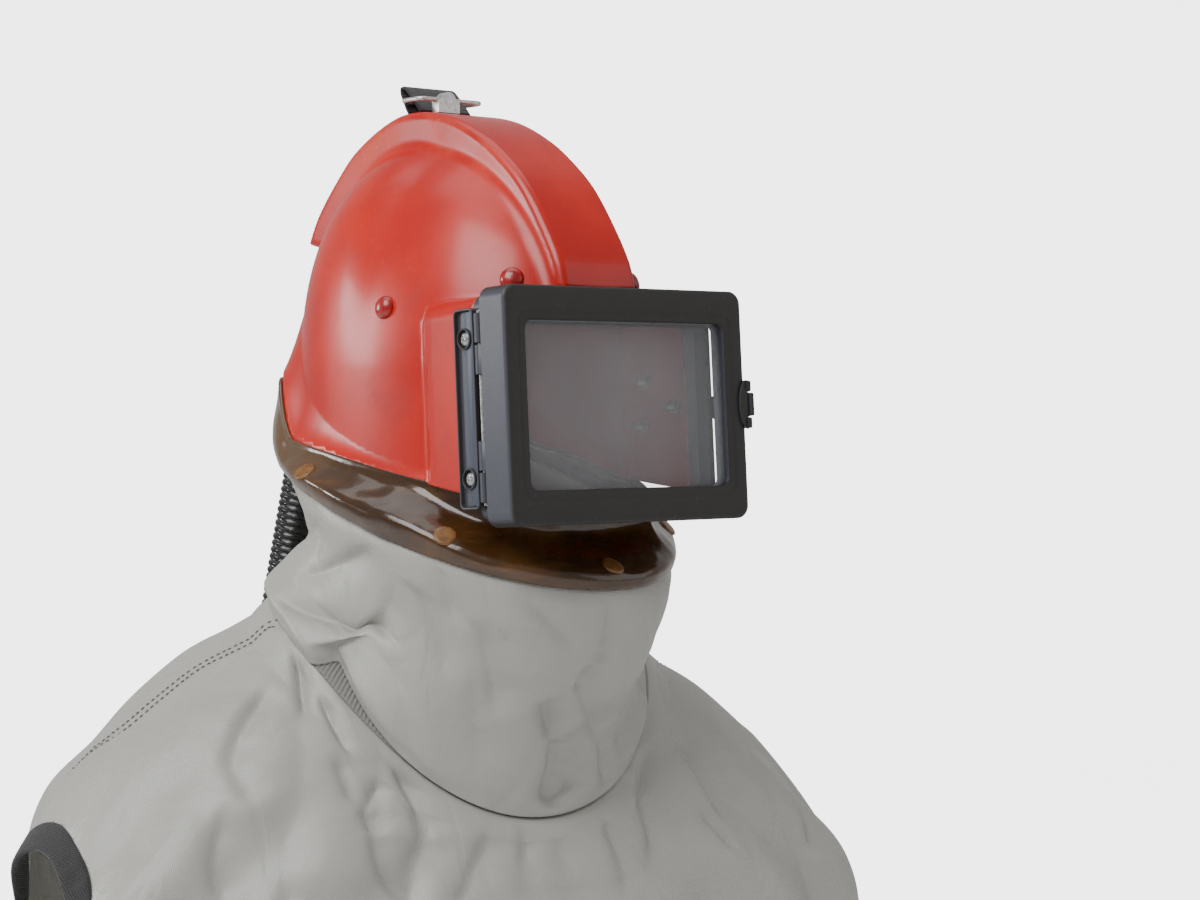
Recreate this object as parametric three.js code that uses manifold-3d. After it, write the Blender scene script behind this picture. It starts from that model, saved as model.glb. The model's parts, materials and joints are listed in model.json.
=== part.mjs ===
// A sandblasting hood: a crested rigid helmet shell with a hinged window, a rubber collar,
// a cloth neck sleeve and cape, a carrying strap and a breathing hose.
// Millimetres, +Z up. The origin is where the crown of the head meets the hood. The wearer faces -Y,
// and +X is the wearer's left. Helper functions work with "forward", which is -Y.
import * as THREE from "three";
import { mergeVertices } from "three/addons/utils/BufferGeometryUtils.js";
import Module from "manifold-3d";

const wasm = await Module();
wasm.setup();

// Helmet shell
const domeHalfWidth = 104;
const domeFront = 173;
const domeRear = 113;
const domeCentre = -35;
const domeTop = 54;
const domeWidest = -112;
const domeSquareness = 2.15;
const domeCrown = 2.3;
const shellWall = 3.5;
const rimFront = -204;
const rimSlope = 0.2;
const rimRear = -116;
const flareRear = 17;
const crestHalfWidth = 34;
const crestLength = 306;
const crestRear = -174;
const crestHeight = 132;
const crestBase = -56;
const crestEdge = 5;
const ductRadius = 21;
const ductBore = 16;

// Window: the door, the base that carries it and their fittings, in a frame that leans with the face
const windowLean = 3.7 * (Math.PI / 180);
const windowHeight = -135;
const doorFront = 163;
const doorWidth = 210;
const doorTall = 157;
const doorDepth = 27;
const doorPlate = 6;
const doorWall = 5.5;
const doorCorner = 9;
const cavityCorner = 6;
const doorBorder = 17.5;
const doorBorderTall = 23;
const openingWidth = doorWidth - 2 * doorBorder;
const openingTall = doorTall - 2 * doorBorderTall;
const openingCorner = 7;
const paneWall = 3;
const paneLap = 7;
const retainerWall = 4;
const baseDepth = 16;
const baseInset = 8;
const baseInsetTall = 3.5;
const baseWidth = doorWidth - 2 * baseInset;
const baseTall = doorTall - 2 * baseInsetTall;
const sealWall = 5;
const sealReach = 7;
const doorGap = 0.6;
const seatGap = 0.3;
const flangeTall = 132;
const flangeReach = 21;
const flangeRim = 1.7;
const flangePocket = 3.2;
const bossRadius = 7.2;
const bossWall = 1.3;
const flangeWall = 5;
const screwSpread = 92;
const screwHead = 4.2;
const screwShank = 2.4;
const knuckleRadius = 4;
const knuckleLength = 20;
const pinRadius = 1.8;
const hingeInset = 4;
const hingeX = hingeInset - doorWidth / 2;
const hingeBack = 4.6;
const latchTall = 33;
const latchTab = 16.5;
const latchThick = 3.4;
const latchPivot = 1.5;
const latchLobe = 3.3;
const latchPinRadius = 1.2;
const latchPlate = 1.8;
const latchReach = 12;

// Collar and cloth
const collarHalfWidth = 130;
const collarFront = 165;
const collarRear = 161;
const collarCentre = -12;
const collarEdge = -210;
const collarSlope = 0.315;
const collarWall = 3;
const studRadius = 7.4;
const studProud = 2;
const sleeveTuck = 3.9;
const clothWall = 2.2;
const bandWall = 2;
const bandWidth = 24;
const bandReach = 18;
const bandSeat = 0.6;
const seamHalfWidth = 142;
const seamFront = 114;
const seamRear = 112;
const seamCentre = -25;
const seamSide = -270;
const seamDrop = 148;
const seamFocus = 2.5;
const torsoTurn = -8 * (Math.PI / 180);
const torsoRoll = 2.5 * (Math.PI / 180);
const shoulderHalfWidth = 326;
const chestReach = 172;
const backReach = 180;
const capeHem = -690;
const armholeTall = 262;
const armholeDeep = 190;
const armholeTop = -428;
const bindingWidth = 17;
const bindingWall = 4;

// Carrying strap
const strapWidth = 46;
const strapLength = 54;
const strapRise = 21;
const strapForward = -40;
const bailLength = 23;
const lugWidth = 19;
const lugOffset = 5;
const lugAhead = 5;
const wireRadius = 1.7;

// Hose
const hoseRadius = 17.5;
const socketRadius = 23;
const socketLength = 28;
const couplingLength = 46;

const clearance = 0.4;
const around = 30;

const colours = {
  shell: [0xc9381f, 0.25, 0],
  rivet: [0xa52a1a, 0.3, 0],
  frame: [0x3a3836, 0.5, 0],
  pane: [0xd8dde0, 0.1, 0],
  retainer: [0x6d7480, 0.4, 0],
  zinc: [0xb9bcc0, 0.35, 0.9],
  rubber: [0x6a4418, 0.3, 0],
  stud: [0xae7332, 0.4, 0],
  cloth: [0xa09e98, 0.6, 0],
  band: [0x8a8882, 0.7, 0],
  binding: [0x322e32, 0.8, 0],
  webbing: [0x1c1b1c, 0.8, 0],
  nickel: [0xd9d6cf, 0.2, 1],
  hose: [0x17171a, 0.3, 0],
};

const root = new THREE.Group();

function material(kind) {
  const [color, roughness, metalness] = colours[kind];
  return new THREE.MeshStandardMaterial({ color, roughness, metalness });
}

function add(name, kind, geometry, parent = root) {
  const mesh = new THREE.Mesh(geometry, material(kind));
  mesh.name = name;
  parent.add(mesh);
  return mesh;
}

// Joining and cutting

function bare(geometry) {
  const positions = new THREE.BufferGeometry();
  const source = geometry.index ? geometry.toNonIndexed() : geometry;
  positions.setAttribute("position", source.getAttribute("position"));
  return mergeVertices(positions, 1e-3);
}

function signedVolume(geometry) {
  const position = geometry.getAttribute("position");
  const index = geometry.index.array;
  const corners = [new THREE.Vector3(), new THREE.Vector3(), new THREE.Vector3()];
  let total = 0;
  for (let i = 0; i < index.length; i += 3) {
    corners.forEach((corner, k) => corner.fromBufferAttribute(position, index[i + k]));
    total += corners[0].dot(corners[1].clone().cross(corners[2])) / 6;
  }
  return total;
}

function facingOut(geometry) {
  const merged = bare(geometry);
  if (signedVolume(merged) < 0) {
    const index = merged.index.array;
    for (let i = 0; i < index.length; i += 3)
      [index[i + 1], index[i + 2]] = [index[i + 2], index[i + 1]];
  }
  return merged;
}

function solid(geometry) {
  const merged = facingOut(geometry);
  const vertProperties = merged.getAttribute("position").array;
  const triVerts = new Uint32Array(merged.index.array);
  return new wasm.Manifold(new wasm.Mesh({ numProp: 3, vertProperties, triVerts }));
}

function geometryOf(body) {
  const mesh = body.getMesh();
  const positions = new Float32Array(mesh.numVert * 3);
  for (let i = 0; i < mesh.numVert; i++)
    for (let k = 0; k < 3; k++) positions[3 * i + k] = mesh.vertProperties[mesh.numProp * i + k];
  const geometry = new THREE.BufferGeometry();
  geometry.setAttribute("position", new THREE.BufferAttribute(positions, 3));
  geometry.setIndex(new THREE.BufferAttribute(mesh.triVerts, 1));
  return geometry;
}

// Surfaces from rows of points

function gridGeometry(rows, closedRows) {
  const columns = rows[0].length;
  const positions = rows.flat().flatMap((p) => [p.x, p.y, p.z]);
  const index = [];
  const last = closedRows ? rows.length : rows.length - 1;
  for (let r = 0; r < last; r++)
    for (let c = 0; c < columns; c++) {
      const a = r * columns + c;
      const b = r * columns + ((c + 1) % columns);
      const d = ((r + 1) % rows.length) * columns + c;
      const e = ((r + 1) % rows.length) * columns + ((c + 1) % columns);
      index.push(a, b, e, a, e, d);
    }
  if (!closedRows)
    [0, rows.length - 1].forEach((r) => {
      const centre = positions.length / 3;
      const middle = rows[r].reduce((sum, p) => sum.add(p), new THREE.Vector3());
      middle.divideScalar(columns);
      positions.push(middle.x, middle.y, middle.z);
      for (let c = 0; c < columns; c++) {
        const a = r * columns + c;
        const b = r * columns + ((c + 1) % columns);
        if (r === 0) index.push(centre, b, a);
        else index.push(centre, a, b);
      }
    });
  const geometry = new THREE.BufferGeometry();
  geometry.setAttribute("position", new THREE.Float32BufferAttribute(positions, 3));
  geometry.setIndex(index);
  return geometry;
}

const loft = (rows) => facingOut(gridGeometry(rows, false));

// The unit normal of each point of a sheet of closed rows, pointing away from the middle of the rows.
function sheetNormals(rows) {
  return rows.map((row, r) =>
    row.map((point, c) => {
      const up = rows[Math.max(r - 1, 0)][c];
      const down = rows[Math.min(r + 1, rows.length - 1)][c];
      const next = row[(c + 1) % row.length];
      const before = row[(c + row.length - 1) % row.length];
      const along = next.clone().sub(before);
      return along.cross(down.clone().sub(up)).normalize();
    }),
  );
}

// A sheet of closed rows given a wall: the outer rows, then the same rows set in by the wall.
function walled(rows, wall, proud = 0) {
  const normals = sheetNormals(rows);
  const middle = rows[rows.length - 1].reduce((s, p) => s.add(p), new THREE.Vector3());
  middle.divideScalar(rows[0].length);
  const probe = rows[rows.length - 1][0].clone().sub(middle);
  const sign = normals[rows.length - 1][0].dot(probe) > 0 ? 1 : -1;
  const shifted = (amount) =>
    rows.map((row, r) => row.map((p, c) => p.clone().addScaledVector(normals[r][c], sign * amount)));
  const outer = shifted(proud);
  const inner = shifted(proud - wall);
  return facingOut(gridGeometry([...outer, ...inner.reverse()], true));
}

// Plan curves: a rounded oval whose front and rear halves have their own lengths

function oval(angle, halfWidth, front, rear, centre, squareness) {
  const power = 2 / squareness;
  const s = Math.sin(angle);
  const c = Math.cos(angle);
  const x = halfWidth * Math.sign(s) * Math.abs(s) ** power;
  const forward = centre + (c > 0 ? front : rear) * Math.sign(c) * Math.abs(c) ** power;
  return new THREE.Vector2(x, forward);
}

const angles = Array.from({ length: around }, (_, i) => (2 * Math.PI * i) / around);
const place = (x, forward, z) => new THREE.Vector3(x, -forward, z);
const mix = (a, b, t) => a + (b - a) * t;
const smooth = (a, b, value) => THREE.MathUtils.smoothstep(value, a, b);

// The angle is measured from the front, and this is how far round to the rear it is, from 0 to 1.
const rearness = (angle) => (1 - Math.cos(angle)) / 2;

// Helmet shell

// The lower edge slopes down to the front and rises in a step to the neck guard at the rear.
function rimHeight(angle) {
  const plan = oval(angle, domeHalfWidth, domeFront, domeRear, domeCentre, domeSquareness);
  const side = rimFront + rimSlope * (domeCentre + domeFront - plan.y);
  return mix(side, rimRear, smooth(0.66, 0.86, rearness(angle)));
}

const creaseAbove = (angle) => mix(8, 52, smooth(0.35, 0.9, rearness(angle)));
const flareAt = (angle) => mix(3, flareRear, smooth(0.3, 0.9, rearness(angle)));

function domePoint(angle, z, inset, flare) {
  const top = domeTop - inset;
  const share = THREE.MathUtils.clamp((z - domeWidest) / (top - domeWidest), 0, 1);
  const size = (1 - share ** domeCrown) ** (1 / domeCrown);
  const plan = oval(
    angle,
    (domeHalfWidth - inset) * size + flare,
    (domeFront - inset) * size + flare,
    (domeRear - inset) * size + flare,
    domeCentre,
    domeSquareness,
  );
  return place(plan.x, plan.y, z);
}

const domeLevels = [0, 0.16, 0.32, 0.47, 0.61, 0.74, 0.85, 0.93, 0.975, 0.995];

// Everything below the shell's edge, raised by a given amount: what the shell is trimmed with.
function belowRim(raise) {
  const reach = (inset, drop) =>
    angles.map((a) => domePoint(a, rimHeight(a) + raise - drop, inset, flareAt(a)));
  return solid(loft([reach(4 * shellWall, 0), reach(0, 0), reach(-60, 0), reach(-60, 90)]));
}

function domeSolid(inset, drop) {
  const top = domeTop - inset;
  const lip = angles.map((a) =>
    domePoint(a, rimHeight(a) - drop, inset + 2 * shellWall, flareAt(a)),
  );
  const low = angles.map((a) => domePoint(a, rimHeight(a) - drop, inset, flareAt(a)));
  const flared = angles.map((a) =>
    domePoint(a, rimHeight(a) + 0.4 * creaseAbove(a), inset, 0.42 * flareAt(a)),
  );
  const levels = domeLevels.map((share) =>
    angles.map((a) => {
      const crease = rimHeight(a) + creaseAbove(a);
      return domePoint(a, mix(crease, top, share), inset, 0);
    }),
  );
  return solid(loft([lip, low, flared, ...levels]));
}

// The crest's side profile, as shares of its length from the rear and of its height.
const crestProfile = [
  { along: 0, up: 0.32 },
  { along: 0.045, up: 0.49 },
  { along: 0.12, up: 0.67 },
  { along: 0.205, up: 0.83 },
  { along: 0.33, up: 0.96 },
  { along: 0.44, up: 1 },
  { along: 0.58, up: 0.95 },
  { along: 0.7, up: 0.83 },
  { along: 0.785, up: 0.7 },
  { along: 0.857, up: 0.555 },
  { along: 0.92, up: 0.37 },
  { along: 0.98, up: 0.15 },
  { along: 1, up: 0 },
];

// A slab between two planes of constant X whose outline is the crest's profile with a foot in the dome.
function crestSolid(inset) {
  const points = crestProfile.map(
    (p) => new THREE.Vector2(crestRear + crestLength * p.along, crestBase + crestHeight * p.up),
  );
  const curve = new THREE.SplineCurve(points);
  const outline = curve.getPoints(18);
  const middle = new THREE.Vector2(crestRear + crestLength * 0.45, crestBase + crestHeight * 0.2);
  const shape = new THREE.Shape();
  const foot = [
    new THREE.Vector2(crestRear + crestLength * 0.86, crestBase - 8),
    new THREE.Vector2(crestRear + crestLength * 0.3, crestBase),
    new THREE.Vector2(crestRear + crestLength * 0.16, crestBase + crestHeight * 0.24),
  ];
  const edge = inset > 0 ? 2 : crestEdge;
  const shrink = (p) => p.clone().addScaledVector(middle.clone().sub(p).normalize(), inset + edge);
  shape.setFromPoints([...outline.map(shrink), ...foot]);
  const thickness = 2 * (crestHalfWidth - inset - edge);
  const geometry = new THREE.ExtrudeGeometry(shape, {
    depth: thickness,
    steps: 1,
    bevelEnabled: true,
    bevelThickness: edge,
    bevelSize: edge,
    bevelSegments: inset > 0 ? 1 : 2,
  });
  // The outline's x is forward and its y is up, so the slab is turned to stand across the dome.
  const stand = new THREE.Matrix4().makeBasis(
    new THREE.Vector3(0, -1, 0),
    new THREE.Vector3(0, 0, 1),
    new THREE.Vector3(1, 0, 0),
  );
  geometry.applyMatrix4(stand);
  geometry.translate(-thickness / 2, 0, 0);
  return solid(geometry);
}

// Sections of the face box from the cheeks to the window base, by how far forward each stands.
const faceBoxSections = [
  { back: 96, width: 0.86, tall: 0.92 },
  { back: 46, width: 0.955, tall: 1 },
  { back: 0, width: 1, tall: 1 },
];

const windowFrame = new THREE.Matrix4()
  .makeTranslation(0, -doorFront, windowHeight)
  .multiply(new THREE.Matrix4().makeRotationX(-windowLean));
const baseBack = doorDepth + doorGap + baseDepth;
const faceBoxHalfWidth = doorWidth / 2 - flangeWall - 1.6 - seatGap;

function roundedRect(width, tall, corner, segments = 3) {
  const points = [];
  const centres = [
    [width / 2 - corner, tall / 2 - corner, 0],
    [-width / 2 + corner, tall / 2 - corner, 1],
    [-width / 2 + corner, -tall / 2 + corner, 2],
    [width / 2 - corner, -tall / 2 + corner, 3],
  ];
  centres.forEach(([x, z, quarter]) => {
    for (let i = 0; i <= segments; i++) {
      const a = (quarter + i / segments) * (Math.PI / 2);
      points.push(new THREE.Vector2(x + corner * Math.cos(a), z + corner * Math.sin(a)));
    }
  });
  return points;
}

function faceBoxSolid(inset, front) {
  const rows = faceBoxSections.map((section) => {
    const width = 2 * (faceBoxHalfWidth * section.width - inset);
    const tall = baseTall * section.tall - 2 * inset;
    const back = section.back === 0 ? -front : section.back;
    return roundedRect(width, tall, 16).map((p) =>
      new THREE.Vector3(p.x, baseBack + back, p.y).applyMatrix4(windowFrame),
    );
  });
  return solid(loft(rows));
}

// The air duct bends from the back of the dome down to the hose socket.
const ductRoute = [
  { forward: -118, z: -68 },
  { forward: -150, z: -70 },
  { forward: -178, z: -78 },
  { forward: -194, z: -94 },
  { forward: -200, z: -112 },
];
const hoseDirection = place(0, -0.306, -0.952).normalize();
const ductEnd = place(0, -200, -112);

function tubeAlong(points, radius, sides, steps) {
  const circle = new THREE.Shape();
  const corners = Array.from({ length: sides }, (_, i) => {
    const a = (2 * Math.PI * (i + 0.5)) / sides;
    return new THREE.Vector2(radius * Math.cos(a), radius * Math.sin(a));
  });
  circle.setFromPoints(corners);
  const curve = new THREE.CatmullRomCurve3(points, false, "centripetal");
  return new THREE.ExtrudeGeometry(circle, { steps, bevelEnabled: false, extrudePath: curve });
}

function ductSolid(radius, extra) {
  const points = ductRoute.map((p) => place(0, p.forward, p.z));
  if (extra > 0) points.push(ductEnd.clone().addScaledVector(hoseDirection, extra));
  return solid(tubeAlong(points, radius, 12, 6));
}

function shellSurface(angle, z) {
  const step = 0.5;
  const point = domePoint(angle, z, 0, 0);
  const side = domePoint(angle + 0.01, z, 0, 0).sub(point);
  const up = domePoint(angle, z + step, 0, 0).sub(point);
  const normal = side.cross(up).normalize();
  if (normal.dot(new THREE.Vector3(point.x, point.y, 0)) < 0) normal.negate();
  return { point, normal };
}

const rivetRadius = 7.6;
const rivetShank = 3;
const rivetProud = 3.6;

// Rivets by their angle from the front and their height.
const rivets = [
  { name: "shell_rivet_side", angle: 74, z: -68 },
  { name: "shell_rivet_brow", angle: 33, z: -49 },
];

function turnedTo(geometry, point, normal) {
  const turn = new THREE.Quaternion().setFromUnitVectors(new THREE.Vector3(0, 0, 1), normal);
  const matrix = new THREE.Matrix4().compose(point, turn, new THREE.Vector3(1, 1, 1));
  return geometry.applyMatrix4(matrix);
}

// A lathe profile of radius and height pairs about +Z, closed on the axis or on itself.
function lathe(pairs, sides) {
  const points = pairs.map(([radius, height]) => new THREE.Vector2(radius, height));
  const geometry = new THREE.LatheGeometry(points, sides);
  return geometry.rotateX(Math.PI / 2);
}

function rivetGeometry() {
  return lathe(
    [
      [0, -shellWall],
      [rivetShank, -shellWall],
      [rivetShank, clearance],
      [rivetRadius, clearance],
      [rivetRadius * 0.93, rivetProud * 0.6],
      [rivetRadius * 0.6, rivetProud],
      [0, rivetProud * 1.15],
    ],
    12,
  );
}

function pegSolid(point, normal, radius, length) {
  const peg = lathe([[0, -length], [radius, -length], [radius, length], [0, length]], 10);
  return solid(turnedTo(peg, point, normal));
}

function pegAhead(point, normal, radius, length) {
  const peg = lathe([[0, 0], [radius, 0], [radius, length], [0, length]], 10);
  return solid(turnedTo(peg, point, normal));
}

const rivetPlaces = rivets.flatMap((rivet) =>
  [-1, 1].map((side) => ({
    name: rivet.name + (side < 0 ? "_right" : "_left"),
    ...shellSurface(side * THREE.MathUtils.degToRad(rivet.angle), rivet.z),
  })),
);

// A piece made about +Z, set on a mesh where a line first meets it and clear of all its faces.
function seated(piece, host, from, toward) {
  const [hit] = new THREE.Raycaster(from, toward.clone().normalize()).intersectObject(host);
  const body = solid(host.geometry);
  const point = hit.point.clone();
  let placed;
  do {
    point.addScaledVector(hit.face.normal, seatGap);
    placed = turnedTo(piece.clone(), point, hit.face.normal);
  } while (solid(placed).intersect(body).volume() > 0);
  return placed;
}

// The room that the window base, the door and the swing of the door take in front of the shell.
function windowRoom() {
  const half = doorWidth / 2 + 12;
  const room = block(-half, half, -60, baseBack, -doorTall / 2 - 40, doorTall / 2 + 1);
  return solid(room.applyMatrix4(windowFrame));
}

function buildShell() {
  const outer = domeSolid(0, 0).add(crestSolid(0)).add(faceBoxSolid(0, 0)).add(ductSolid(ductRadius, 4));
  const cheeks = faceBoxSolid(shellWall, 6).subtract(belowRim(shellWall));
  let body = outer
    .subtract(domeSolid(shellWall, 8))
    .subtract(crestSolid(shellWall))
    .subtract(cheeks)
    .subtract(ductSolid(ductBore, 12))
    .subtract(belowRim(0).subtract(ductSolid(ductRadius + 1, 4)))
    .subtract(windowRoom())
    .subtract(pegAhead(ductEnd, hoseDirection, ductRadius + 8, 12));
  rivetPlaces.forEach(({ point, normal }) => {
    body = body.subtract(pegSolid(point, normal, rivetShank + seatGap, 12));
  });
  const shell = add("helmet_shell", "shell", geometryOf(body));
  rivetPlaces.forEach(({ name, point, normal }) => {
    add(name, "rivet", turnedTo(facingOut(rivetGeometry()), point, normal));
  });
  return shell;
}

// Window. Local axes: x across, y backward from the door's front face, z up the leaning face.

function plate(width, tall, corner, from, to, hole = null) {
  const shape = new THREE.Shape(roundedRect(width, tall, corner));
  if (hole) shape.holes.push(new THREE.Path(roundedRect(hole.width, hole.tall, hole.corner).reverse()));
  const geometry = new THREE.ExtrudeGeometry(shape, { depth: to - from, bevelEnabled: false });
  // The shape's y becomes up and its depth runs back from the front face.
  return geometry.rotateX(Math.PI / 2).translate(0, to, 0);
}

function block(x0, x1, y0, y1, z0, z1) {
  const geometry = new THREE.BoxGeometry(x1 - x0, y1 - y0, z1 - z0);
  return geometry.translate((x0 + x1) / 2, (y0 + y1) / 2, (z0 + z1) / 2);
}

function post(x, y, z0, z1, radius, sides = 10) {
  return lathe([[0, z0], [radius, z0], [radius, z1], [0, z1]], sides).translate(x, y, 0);
}

const opening = { width: openingWidth, tall: openingTall, corner: openingCorner };
const hingeY = doorDepth + hingeBack;
const baseFront = doorDepth + doorGap;
const flangeFront = baseFront + 9;
const flangeOuter = doorWidth / 2 - 1.6;
const knuckles = [
  { from: 2.1 * knuckleLength, to: 3.1 * knuckleLength, carrier: "base" },
  { from: 1.07 * knuckleLength, to: 2.07 * knuckleLength, carrier: "door" },
  { from: -2.07 * knuckleLength, to: -1.07 * knuckleLength, carrier: "door" },
  { from: -3.1 * knuckleLength, to: -2.1 * knuckleLength, carrier: "base" },
];

function buildWindow() {
  const window = new THREE.Group();
  window.position.set(0, -doorFront, windowHeight);
  window.rotation.x = -windowLean;
  root.add(window);

  const cavity = { width: doorWidth - 2 * doorWall, tall: doorTall - 2 * doorWall };
  const hollow = plate(cavity.width, cavity.tall, cavityCorner, doorPlate, doorDepth + 5);
  const view = plate(openingWidth, openingTall, openingCorner, -5, doorPlate + 5);
  let door = solid(plate(doorWidth, doorTall, doorCorner, 0, doorDepth));
  door = door.subtract(solid(hollow)).subtract(solid(view));
  const inside = { width: openingWidth + 2, tall: openingTall + 2, corner: openingCorner };
  let carrier = solid(plate(baseWidth, baseTall, doorCorner, baseFront, baseBack - seatGap, inside));
  const seal = { width: inside.width + 2 * sealWall, tall: inside.tall + 2 * sealWall };
  carrier = carrier.add(
    solid(plate(seal.width, seal.tall, doorCorner, baseFront - sealReach, baseFront + 2, inside)),
  );
  [-1, 1].forEach((side) => {
    const across = (a, b, ...rest) => solid(block(...(side < 0 ? [-b, -a] : [a, b]), ...rest));
    const back = flangeFront + flangeReach;
    const half = flangeTall / 2;
    const rim = flangeRim;
    const floor = flangeOuter - flangePocket;
    const flange = across(flangeOuter - flangeWall, flangeOuter, flangeFront, back, -half, half);
    const web = across(baseWidth / 2 - 3, flangeOuter, flangeFront, baseBack - seatGap, -half, half);
    const pocket = across(floor, flangeOuter + 1, flangeFront + rim, back - rim, rim - half, half - rim);
    const slabTop = floor + flangePocket / 2;
    const slab = across(floor - 0.5, slabTop, flangeFront, flangeFront + flangeReach / 2, -half, half);
    carrier = carrier.add(flange).add(web).subtract(pocket).add(slab);
  });
  knuckles.forEach(({ from, to, carrier: owner }) => {
    const barrel = solid(post(hingeX, hingeY, from, to, knuckleRadius));
    if (owner === "door") {
      const web = block(hingeX - 3.4, hingeX + 3, doorDepth - 0.5, hingeY, from, to);
      door = door.add(barrel).add(solid(web));
    } else {
      const web = block(hingeX, hingeX + 7, hingeY - 2.6, hingeY + 2.6, from, to);
      carrier = carrier.add(barrel).add(solid(web));
    }
  });
  const reach = 3.1 * knuckleLength + 2;
  const bore = solid(post(hingeX, hingeY, -reach - 2, reach + 2, pinRadius + seatGap));
  door = door.subtract(bore);
  carrier = carrier.subtract(bore);
  // The door's own back edge stays clear of the base's knuckles as it turns.
  knuckles.forEach(({ from, to, carrier: owner }) => {
    const other = solid(post(hingeX, hingeY, from - 0.7, to + 0.7, knuckleRadius + 0.6));
    if (owner === "base") door = door.subtract(other);
    else carrier = carrier.subtract(other);
  });

  const screws = [];
  [-1, 1].forEach((side) =>
    [-1, 1].forEach((level) => {
      const y = flangeFront + flangeReach * 0.5;
      const floor = flangeOuter - flangePocket;
      const point = new THREE.Vector3(side * floor, y, (level * screwSpread) / 2);
      const normal = new THREE.Vector3(side, 0, 0);
      const boss = pegAhead(point, normal, bossRadius, flangePocket);
      const well = pegAhead(point, normal, bossRadius - bossWall, flangePocket + 2);
      carrier = carrier.add(boss).subtract(well);
      carrier = carrier.subtract(pegSolid(point, normal, screwShank + seatGap, 12));
      screws.push({ name: screwName(side, level), point, normal });
    }),
  );
  const latch = latchParts();
  door = door.subtract(latch.room);
  add("door_frame", "frame", geometryOf(door), window);
  add("window_base", "frame", geometryOf(carrier), window);
  add("hinge_pin", "zinc", facingOut(post(hingeX, hingeY, -reach, reach, pinRadius)), window);
  screws.forEach(({ name, point, normal }) => {
    const screw = lathe(
      [
        [0, flangePocket - flangeWall],
        [screwShank, flangePocket - flangeWall],
        [screwShank, clearance],
        [screwHead, clearance],
        [screwHead * 0.85, 2.4],
        [0, 2.8],
      ],
      10,
    );
    add(name, "zinc", turnedTo(facingOut(screw), point, normal), window);
  });

  const paneBack = doorPlate + seatGap + paneWall;
  const pane = { width: openingWidth + 2 * paneLap, tall: openingTall + 2 * paneLap };
  const lens = plate(pane.width, pane.tall, openingCorner, doorPlate + seatGap, paneBack);
  add("door_lens", "pane", facingOut(lens), window);
  const retainer = plate(
    cavity.width - 2 * seatGap,
    cavity.tall - 2 * seatGap,
    cavityCorner,
    paneBack + seatGap,
    paneBack + seatGap + retainerWall,
    opening,
  );
  add("lens_retainer", "retainer", facingOut(retainer), window);
  const innerFrom = baseFront + 3;
  const innerPane = plate(
    inside.width - 2 * seatGap,
    inside.tall - 2 * seatGap,
    openingCorner,
    innerFrom,
    innerFrom + paneWall,
  );
  add("inner_pane", "pane", facingOut(innerPane), window);
  add("latch_base", "frame", geometryOf(latch.base), window);
  add("latch_pin", "zinc", facingOut(latch.pin), window);
  add("latch_lever", "frame", geometryOf(latch.lever), window);
}

function screwName(side, level) {
  return "base_screw" + (side < 0 ? "_right" : "_left") + (level < 0 ? "_lower" : "_upper");
}

// The latch: ears on the door's edge carry a short lever that lies along the side of the door.
function latchParts() {
  const edge = doorWidth / 2;
  const pivotX = edge + 2.6;
  const ear = (latchTall - latchTab) / 2 - 0.5;
  const lobes = [
    { from: latchTall / 2 - ear, to: latchTall / 2 },
    { from: -latchTall / 2, to: -latchTall / 2 + ear },
  ];
  const arc = new THREE.Shape();
  arc.absellipse(0, 0, 2 * latchLobe, latchTall / 2, Math.PI / 2, 1.5 * Math.PI, false);
  const backing = new THREE.ExtrudeGeometry(arc, { depth: latchPlate, bevelEnabled: false, curveSegments: 8 });
  backing.rotateX(Math.PI / 2).translate(edge - seatGap, -seatGap, 0);
  const plateFront = -seatGap - latchPlate;
  let base = solid(backing);
  lobes.forEach(({ from, to }) => {
    base = base
      .add(solid(post(pivotX, latchPivot, from, to, latchLobe)))
      .add(solid(block(edge - latchLobe, pivotX, plateFront, -seatGap, from, to)))
      .add(solid(block(edge + seatGap, pivotX + 1, plateFront, latchPivot, from, to)));
  });
  const bore = solid(post(pivotX, latchPivot, -latchTall, latchTall, latchPinRadius + seatGap));
  const tab = latchTab / 2;
  const barrel = latchThick / 2 + 1;
  const room = solid(post(pivotX, latchPivot, -tab - clearance, tab + clearance, barrel + 2 * seatGap));
  const doorEdge = block(edge - 8, edge + seatGap, -seatGap, doorDepth, -latchTall, latchTall);
  base = base.subtract(bore).subtract(room).subtract(solid(doorEdge));
  const arm = block(
    pivotX - clearance,
    pivotX + latchThick - 2 * seatGap,
    latchPivot - barrel - 2.4,
    doorDepth + latchReach,
    -tab,
    tab,
  );
  const lever = solid(post(pivotX, latchPivot, -tab, tab, barrel)).add(solid(arm)).subtract(bore);
  const pin = post(pivotX, latchPivot, -latchTall / 2, latchTall / 2, latchPinRadius);
  return { base, lever, pin, room };
}

// Small bolts through the cheek of the face box show inside it.
const innerBolts = [
  { forward: 76, z: -119 },
  { forward: 104, z: -137 },
  { forward: 74, z: -151 },
];

function buildInnerBolts(shell) {
  innerBolts.forEach(({ forward, z }, i) => {
    const bolt = lathe(
      [[0, 0], [4.5, 0], [4.5, 3], [2.4, 3.2], [2.4, 9], [0, 9.5]],
      10,
    );
    const inside = place(0, forward, z);
    add("inner_bolt_" + (i + 1), "zinc", seated(facingOut(bolt), shell, inside, new THREE.Vector3(1, 0, 0)));
  });
}

// Collar

const collarBottom = (forward) => collarEdge - collarSlope * forward;

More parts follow.
